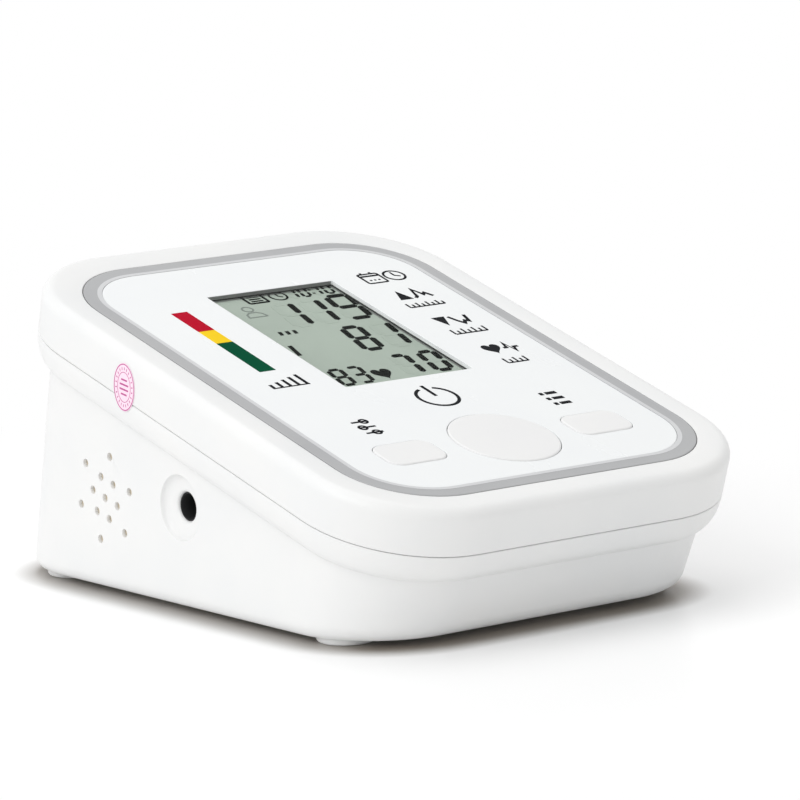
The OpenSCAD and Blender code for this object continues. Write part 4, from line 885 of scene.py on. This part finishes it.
def make_small_key(name, node, side):
    rings = []
    for inset, n in key_profile():
        r = max(0.4, SMALL_R - inset)
        rings.append(at(rounded(SMALL_W - 2 * inset, SMALL_L - 2 * inset, r, steps=8), n))
    place = on_panel(side * SMALL_U, KEYS_V)
    key = Solid().loft(rings, place)
    key.rod(STEM_R, STEM_LOW, FLANGE_LOW + 0.3, place, 32)
    piece(name, key, "key_white", node, [node])


# ---- print on the panel

class Marks(Solid):
    """Thin flat marks on the panel's face or on the display's."""

    def __init__(self, low=INK_LOW, high=INK_HIGH):
        super().__init__()
        self.low, self.high = low, high

    def line(self, points, width=0.5, closed=False):
        return self.ribbon(points, width, self.low, self.high, PANEL, closed)

    def fill(self, outline):
        return self.prism(outline, self.low, self.high, PANEL)

    def loop(self, centre, r, width=0.5, sides=32):
        return self.line(circle(r, centre, sides), width, True)


def heart(u, v, w, h, steps=40):
    """Outline of a plain heart in a box whose lower left corner is (u, v)."""
    points = []
    for i in range(steps):
        a = 2 * math.pi * i / steps
        x = 16 * math.sin(a) ** 3
        y = 13 * math.cos(a) - 5 * math.cos(2 * a) - 2 * math.cos(3 * a) - math.cos(4 * a)
        points.append((u + w * (x + 16) / 32, v + h * (y + 17) / 29))
    return points


def scale_marks(ink, u0, u1, v0, v1, count):
    """A small ruler: a base line with upright ticks, every other one shorter."""
    ink.line([(u0, v0), (u1, v0)])
    for i in range(count):
        u = u0 + (u1 - u0) * i / (count - 1)
        ink.line([(u, v0), (u, v1 if i % 2 == 0 else (v0 + 2 * v1) / 3)])


def make_print():
    ink = Marks()
    # calendar and clock, in the place of the upper label
    ink.line(rounded(5.0, 4.8, 0.5, (25.8, 39.1), 3), 0.55, True)
    ink.line([(23.6, 40.4), (28.0, 40.4)], 0.7)
    for u in (24.6, 27.0):
        ink.line([(u, 41.2), (u, 42.3)], 0.55)
    for u in (24.7, 25.8, 26.9):
        ink.fill(rounded(0.55, 0.55, 0.1, (u, 38.2), 2))
    ink.loop((31.6, 39.2), 2.4, 0.55)
    ink.line([(31.6, 40.9), (31.6, 39.2), (32.8, 38.5)])
    # high and low crest of a pressure wave, each over a small scale
    ink.fill([(24.3, 27.0), (27.7, 27.0), (26.0, 31.6)])
    ink.line([(28.4, 27.2), (29.2, 27.9), (30.1, 31.6), (31.2, 28.4), (32.0, 29.2), (33.0, 27.2)], 0.8)
    scale_marks(ink, 23.8, 32.8, 22.9, 24.9, 8)
    ink.fill([(24.3, 16.8), (27.7, 16.8), (26.0, 12.3)])
    ink.line([(28.4, 16.4), (29.3, 14.0), (30.2, 12.5), (31.0, 13.8), (31.8, 13.2), (32.6, 16.4)], 0.8)
    scale_marks(ink, 24.3, 32.6, 7.9, 10.2, 7)
    # heart with a pulse trace
    ink.fill(heart(24.8, -3.4, 4.4, 4.6))
    ink.line([(29.6, -1.2), (30.5, -1.2), (31.0, 1.2), (31.7, -3.2), (32.2, -1.2), (33.4, -1.2)], 0.75)
    scale_marks(ink, 25.6, 30.8, -8.2, -5.9, 5)
    # rising bars under the colour bar
    for i in range(5):
        u = -31.0 + 2.05 * i
        ink.line([(u, -4.0), (u, -2.4 + 0.75 * i)], 0.8)
    ink.line([(-31.4, -4.2), (-22.3, -4.2)], 0.45)
    # stand-by mark: an open circle and a stroke
    centre_u, centre_v, r = -0.5, -18.0, 4.4
    turn = [math.radians(112 + 316 * i / 28) for i in range(29)]
    ink.line([(centre_u + r * math.cos(a), centre_v + r * math.sin(a)) for a in turn], 0.75)
    ink.line([(centre_u, -17.6), (centre_u, -12.4)], 0.8)
    # sliders over the left key, list over the right key
    for v, knob in ((-23.6, -23.4), (-26.2, -25.4), (-28.8, -23.8)):
        ink.line([(-26.4, v), (-22.3, v)], 0.6)
        ink.loop((knob, v), 0.85, 0.55)
    for v in (-23.8, -26.3, -28.8):
        ink.fill(rounded(1.0, 1.2, 0.2, (21.7, v), 2))
        ink.line([(22.7, v), (25.5, v)], 1.15)
    piece("panel_print", ink, "ink_black")
    bar_u, bar_w = -27.0, 4.0
    for name, material, slot, low, high in (
            ("bar_high", "ink_red", "lead_red", 25.3, 35.3),
            ("bar_middle", "ink_yellow", "cell_sleeve", 19.0, 25.3),
            ("bar_low", "ink_green", "board_green", 3.8, 19.0)):
        bar = Marks().fill(rounded(bar_w, high - low, 0.12, (bar_u, (low + high) / 2), 3))
        piece(name, bar, material)


# ---- display

SEGMENTS = {"0": "abcdef", "1": "bc", "3": "abcdg", "7": "abc", "8": "abcdefg", "9": "abcdfg"}


class Display(Marks):
    """Flat shapes on the display's face."""

    def __init__(self):
        super().__init__(LCD_LOW, LCD_HIGH)

    def figure(self, letters, u, v, w, h, t, slant):
        """Segments a to g of one numeral, pointed at their ends and leaning to the right."""
        gap = t * 0.16
        half = t / 2
        left, right, low, mid, high = half, w - half, half, h / 2, h - half
        ends = {
            "a": ((left, high), (right, high)), "b": ((right, high), (right, mid)),
            "c": ((right, mid), (right, low)), "d": ((left, low), (right, low)),
            "e": ((left, mid), (left, low)), "f": ((left, high), (left, mid)),
            "g": ((left, mid), (right, mid)),
        }
        for letter in letters:
            (x0, y0), (x1, y1) = ends[letter]
            a, b = Vector((x0, y0)), Vector((x1, y1))
            along = (b - a).normalized()
            across = Vector((-along.y, along.x)) * half
            a, b = a + along * gap, b - along * gap
            slope = along * half * 0.7
            outline = [a, a + slope - across, b - slope - across, b, b - slope + across, a + slope + across]
            self.fill([(u + p.x + slant * p.y / h, v + p.y) for p in outline])


def make_display():
    dark, faint, grey = Display(), Display(), Display()
    figures = [
        ("1", -5.6, 23.3, 5.6, 12.8, 1.55, 1.9), ("1", 1.2, 23.3, 5.6, 12.8, 1.55, 1.9),
        ("9", 8.4, 23.3, 6.8, 13.2, 1.6, 1.9),
        ("8", 1.2, 8.3, 5.8, 12.8, 1.55, 1.9), ("1", 8.6, 8.3, 5.6, 12.8, 1.55, 1.9),
        ("7", 2.5, -5.3, 5.0, 10.6, 1.5, 1.6), ("0", 9.4, -5.3, 5.2, 10.6, 1.5, 1.6),
        ("8", -14.6, -5.5, 4.0, 8.4, 1.1, 1.2), ("3", -9.9, -5.5, 3.9, 8.4, 1.1, 1.2),
        ("1", 3.4, 36.9, 2.4, 4.9, 0.75, 0.7), ("0", 6.4, 36.9, 2.5, 4.9, 0.75, 0.7),
        ("1", 9.6, 36.9, 2.4, 4.9, 0.75, 0.7), ("0", 12.6, 36.9, 2.5, 4.9, 0.75, 0.7),
    ]
    for numeral, u, v, w, h, t, slant in figures:
        dark.figure(SEGMENTS[numeral], u, v, w, h, t, slant)
        off = "".join(letter for letter in "abcdefg" if letter not in SEGMENTS[numeral])
        faint.figure(off, u, v, w, h, t, slant)
    for v in (38.3, 40.1):
        dark.fill(rounded(0.7, 0.7, 0.1, (10.0, v), 2))
    # boxed list, clock, small bars and heart
    dark.line(rounded(4.8, 3.9, 0.4, (-4.8, 39.2), 3), 0.7, True)
    for v in (38.2, 39.2, 40.2):
        dark.line([(-6.3, v), (-3.3, v)], 0.55)
    dark.loop((1.2, 39.2), 2.0, 0.5, 28)
    dark.line([(1.2, 40.5), (1.2, 39.2), (2.1, 38.5)], 0.45)
    for i in range(3):
        u = -11.2 + 1.8 * i
        dark.fill([(u, 20.9), (u + 0.9, 20.9), (u + 1.2, 22.6), (u + 0.3, 22.6)])
    dark.fill([(-14.2, 10.8), (-13.1, 10.8), (-12.2, 15.8), (-13.3, 15.8)])
    dark.fill(heart(-4.6, -5.0, 4.6, 4.9))
    # user mark: a head over shoulders
    grey.loop((-9.7, 34.9), 1.2, 0.45, 24)
    grey.line([(-12.0, 30.8), (-11.6, 32.3), (-10.6, 33.1), (-8.8, 33.1), (-7.8, 32.3), (-7.4, 30.8)], 0.45)
    grey.line([(-12.0, 30.8), (-7.4, 30.8)], 0.45)
    piece("display_numerals", dark, "lcd_dark")
    piece("display_unlit", faint, "lcd_faint")
    piece("display_user_mark", grey, "lcd_grey")


# ---- seal, socket, door, inlet

def seal_place():
    lean = SKIRT_DRAFT / (SKIRT_H - RIM_ROUND)
    v, n = 19.9, -7.2
    x = -RIM_W / 2 - lean * (n + RIM_ROUND) - 0.025
    turn = Matrix.Rotation(math.radians(-90) - math.atan(lean), 4, "Y")
    return PANEL @ Matrix.Translation((x, v, n)) @ turn @ Matrix.Rotation(math.radians(8), 4, "Z")


def make_seal():
    """A plain paper seal: two oval lines, a ring of ticks and short bars."""
    place, low, high = seal_place(), 0.12, 0.145
    ink = Solid()
    for scale, width in ((0.95, 0.2), (0.62, 0.12)):
        oval = [(SEAL_HALF_L * scale * x, SEAL_HALF_W * scale * y) for x, y in circle(1.0, sides=60)]
        ink.ribbon(oval, width, low, high, place, True)
    for x, half in ((-1.5, 1.0), (-0.5, 1.5), (0.5, 1.5), (1.5, 1.0)):
        ink.ribbon([(x, -half), (x, half)], 0.34, low, high, place)
    tick = Solid().block((-0.3, -0.11, low), (0.3, 0.11, high)).mesh("tick")
    ring = repeated(RING_TREE, tick, "ink_pink", FLAT, Count=22, Radius=3.85 * MM, Turn=0.0)
    squeeze = Matrix.Scale(SEAL_HALF_W / SEAL_HALF_L, 4, (0, 1, 0))
    ring.transform(in_metres(place) @ squeeze)
    piece("seal_ink", joined("seal_ink", [ink.mesh("lines"), ring]), "ink_pink")


def make_socket():
    """Black insert behind the dish, with a rounded mouth and a nipple for the tube."""
    flange_r, body_r, bore_r, nipple_r, hole_r = 7.3, 4.8, 2.6, 1.25, 0.75
    mouth, bore_end, depth = -1.55, 12.0, 13.2
    profile = [(bore_r, 1.2), (bore_r, mouth + 0.35), (bore_r + 0.08, mouth + 0.08), (bore_r + 0.2, mouth),
               (bore_r + 0.31, mouth + 0.1), (bore_r + 0.33, 0.0), (flange_r, 0.0), (flange_r, 1.6),
               (body_r + 0.3, 1.6), (body_r, 1.9), (body_r, depth - 0.3), (body_r - 0.3, depth),
               (nipple_r, depth), (nipple_r, depth + 3.7), (nipple_r - 0.2, depth + 4), (hole_r, depth + 4),
               (hole_r, bore_end), (bore_r, bore_end)]
    insert = Solid().lathe(profile, along_x(SOCKET_X, SOCKET_Y, SOCKET_Z))
    piece("socket_insert", insert, "soft_black", stands_for=["air_socket"])


def make_door():
    """Battery door with soft edges, grip ridges on its outer face, hinge barrel and latch tongue."""
    half, back, top = BOX_HALF - DOOR_GAP, BOX_BACK - DOOR_GAP, DOOR_Z + DOOR_T
    length = back - HINGE_Y
    centre = (0, HINGE_Y + length / 2)
    rings = [at(rounded(2 * half - 2, length - 2, 0.5, centre, 6), DOOR_Z)]
    for inset, drop in fillet(0.35, 4):
        outline = rounded(2 * (half - inset), length - 2 * inset, 1.2 - inset, centre, 6)
        rings.append(at(outline, DOOR_Z + drop))
    rings.append(at(rounded(2 * half, length, 1.2, centre, 6), top))
    door = Solid().loft(rings)
    door.rod(HINGE_R, -half, half, along_x(0, HINGE_Y, HINGE_Z))
    door.rod(0.9, -half - 2.4, half + 2.4, along_x(0, HINGE_Y, HINGE_Z), 32)
    door.block((-6, BOX_BACK - 1.8, top - 0.2), (6, BOX_BACK - 0.8, top + 2.8))
    ridge = Solid()
    ridge.loft([at(rounded(16, 0.9, 0.44, steps=6), 0.2), at(rounded(16, 0.9, 0.44, steps=6), -0.15),
                at(rounded(15.6, 0.5, 0.24, steps=6), -0.3)])
    place = Matrix.Translation((0, back - 14, DOOR_Z))
    grip = repeated(ROW_TREE, ridge.mesh("ridge"), "body_white", place, Count=6, Step=(0.0, 2.0 * MM, 0.0))
    lid = joined("battery_lid", [door.mesh("door"), grip])
    piece("battery_lid", lid, "body_white", "battery_door", ["battery_door"])


def make_inlet():
    """Round-ended metal shell with its contact tongue."""
    place = along_x(INLET_END - INLET_L, INLET_Y, INLET_Z)
    outer = rounded(INLET_H, INLET_W, 1.3, steps=8)
    inner = rounded(INLET_H - 0.6, INLET_W - 0.6, 1.0, steps=8)
    shell = Solid().shell([[at(outer, INLET_L), at(outer, 0.8)], [at(inner, INLET_L), at(inner, 0.8)]], place)
    shell.prism(outer, 0, 0.8, place)
    shell.prism(rounded(0.6, 5.2, 0.28, steps=4), 0.8, INLET_L - 0.9, place)
    piece("inlet_shell", shell, "steel", stands_for=["power_inlet"])


# ---- CAD nodes that keep their shape

NODES_OF_FINISH = {
    "board_green": "main_board inlet_board",
    "cell_sleeve": "battery_cells",
    "chip_black": "board_chips start_plunger set_plunger memory_plunger",
    "clear_pane": "window_pane",
    "copper_coil": "valve_coil",
    "dark_plastic": "switch_bodies pressure_sensor motor_magnet pump_crankcase pump_valve_cap",
    "display_glass": "display_glass",
    "foam_black": "window_gasket",
    "inner_ivory": "display_frame wire_sockets air_joint pump_strap",
    "lead_red": "speaker_leads pump_leads valve_leads battery_leads",
    "seal_paper": "seal_sticker",
    "soft_black": "motor_cap pump_diaphragm pump_dampers speaker_cone",
    "steel": "board_screws case_screws strap_screws leak_valve valve_yoke valve_plunger motor_can pump_rotor "
             "speaker_frame speaker_magnet battery_springs battery_plates",
    "strip_pink": "contact_strips",
    "tube_clear": "socket_tube pump_tube sensor_tube valve_tube leak_tube",
}


def finish_nodes():
    for material, names in NODES_OF_FINISH.items():
        for name in names.split():
            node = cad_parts[name]
            if not node.material_slots:
                node.data.materials.append(FINISH[material])
            for slot in node.material_slots:
                slot.material = FINISH[material]


# ---- studio

def light_path(tree, *rays):
    """1 for the named kinds of ray, as a socket."""
    path = add(tree, "ShaderNodeLightPath").outputs
    total = path[rays[0]]
    for ray in rays[1:]:
        total = maths(tree, "MAXIMUM", total, path[ray])
    return total


def make_floor():
    """Pale floor with a painted contact shadow close under the case, left out on the lamp's side, and plain
    white far from it.
    """
    thing = show("studio_floor", Solid().prism(circle(1400, sides=96), -1, 0).mesh("studio_floor"))
    material = bpy.data.materials.new("studio_floor")
    material.use_nodes = True
    tree = material.node_tree
    place = object_place(tree)
    seen = light_path(tree, "Is Camera Ray", "Is Glossy Ray")
    # Painted shadow: for camera and glossy rays the floor's colour darkens where ambient occlusion finds the
    # case close by, and a mask on X keeps it pale on the lamp's side.
    painted_shadow_reach, painted_shadow_colour, pale = 0.0085, (0.22, 0.19, 0.16, 1), (0.98, 0.98, 0.98, 1)
    near = add(tree, "ShaderNodeAmbientOcclusion", {"Distance": painted_shadow_reach}).outputs["AO"]
    open_share = maths(tree, "MAXIMUM", remap(tree, near, 0.42, 0.92), maths(tree, "SUBTRACT", 1.0, seen))
    across = add(tree, "ShaderNodeSeparateXYZ", {"Vector": place}).outputs["X"]
    unshaded_lamp_side = remap(tree, across, -0.056, -0.040, 0.85, 0.0)
    pale_share = maths(tree, "MAXIMUM", unshaded_lamp_side, open_share)
    shader = feed(tree, tree.nodes["Principled BSDF"], {
        "Base Color": blend(tree, pale_share, painted_shadow_colour, pale),
        "Roughness": 0.28, "Specular IOR Level": 0.1})
    far = add(tree, "ShaderNodeVectorMath", {0: place}, operation="LENGTH").outputs["Value"]
    fade = remap(tree, far, 0.09, 0.22, 0.01, 1.0, interpolation_type="SMOOTHSTEP")
    glow = add(tree, "ShaderNodeEmission").outputs["Emission"]
    mix = add(tree, "ShaderNodeMixShader", {
        "Fac": maths(tree, "MULTIPLY", fade, seen), 1: shader.outputs["BSDF"], 2: glow})
    feed(tree, tree.nodes["Material Output"], {"Surface": mix.outputs["Shader"]})
    thing.data.materials.append(material)


def make_world(ambient):
    """Even light at the ambient strength, seen as plain white."""
    world = bpy.data.worlds.new("studio")
    bpy.context.scene.world = world
    world.use_nodes = True
    tree = world.node_tree
    seen = light_path(tree, "Is Camera Ray", "Is Glossy Ray", "Is Transmission Ray")
    feed(tree, tree.nodes["Background"], {
        "Color": (1, 1, 1, 1), "Strength": remap(tree, seen, 0.0, 1.0, ambient, 1.0)})


def softbox(name, spot, size, power):
    aim = Vector((0, 0, 0.03))
    data = bpy.data.lights.new(name, "AREA")
    data.shape = "RECTANGLE"
    data.size, data.size_y = size
    data.energy = power
    lamp = show(name, data)
    lamp.location = spot
    lamp.rotation_mode = "QUATERNION"
    lamp.rotation_quaternion = (aim - Vector(spot)).to_track_quat("-Z", "Y")


def make_camera():
    """The photograph's view, from a pinhole fitted to the outlines in it."""
    spot, lens = (-0.63375, -0.83547, 0.21246), 234.65
    azimuth, elevation, roll = (math.radians(a) for a in (-37.544, 9.438, -1.526))
    back = Vector((math.sin(azimuth) * math.cos(elevation), -math.cos(azimuth) * math.cos(elevation),
                   math.sin(elevation)))
    right = Vector((math.cos(azimuth), math.sin(azimuth), 0))
    up = back.cross(right)
    across = right * math.cos(roll) + up * math.sin(roll)
    upward = up * math.cos(roll) - right * math.sin(roll)
    data = bpy.data.cameras.new("camera")
    data.lens, data.sensor_width = lens, 36.0
    data.clip_start, data.clip_end = 0.05, 20.0
    camera = show("camera", data)
    camera.matrix_world = Matrix.Translation(spot) @ Matrix((across, upward, back)).transposed().to_4x4()
    bpy.context.scene.camera = camera


make_camera()
make_cover()
make_base()
make_feet()
make_trim()
make_panel_sheet()
make_start_key()
make_small_key("set_button", "set_key", -1)
make_small_key("memory_button", "memory_key", 1)
make_print()
make_display()
make_seal()
make_socket()
make_door()
make_inlet()
finish_nodes()
make_floor()
make_world(0.70)
softbox("left_softbox", (-1.3, -0.1, 0.9), (1.2, 1.2), 9.0)
softbox("top_softbox", (-0.1, 0.3, 1.4), (1.4, 1.2), 5.4)

bpy.context.scene.view_settings.view_transform = "Standard"
bpy.context.view_layer.update()
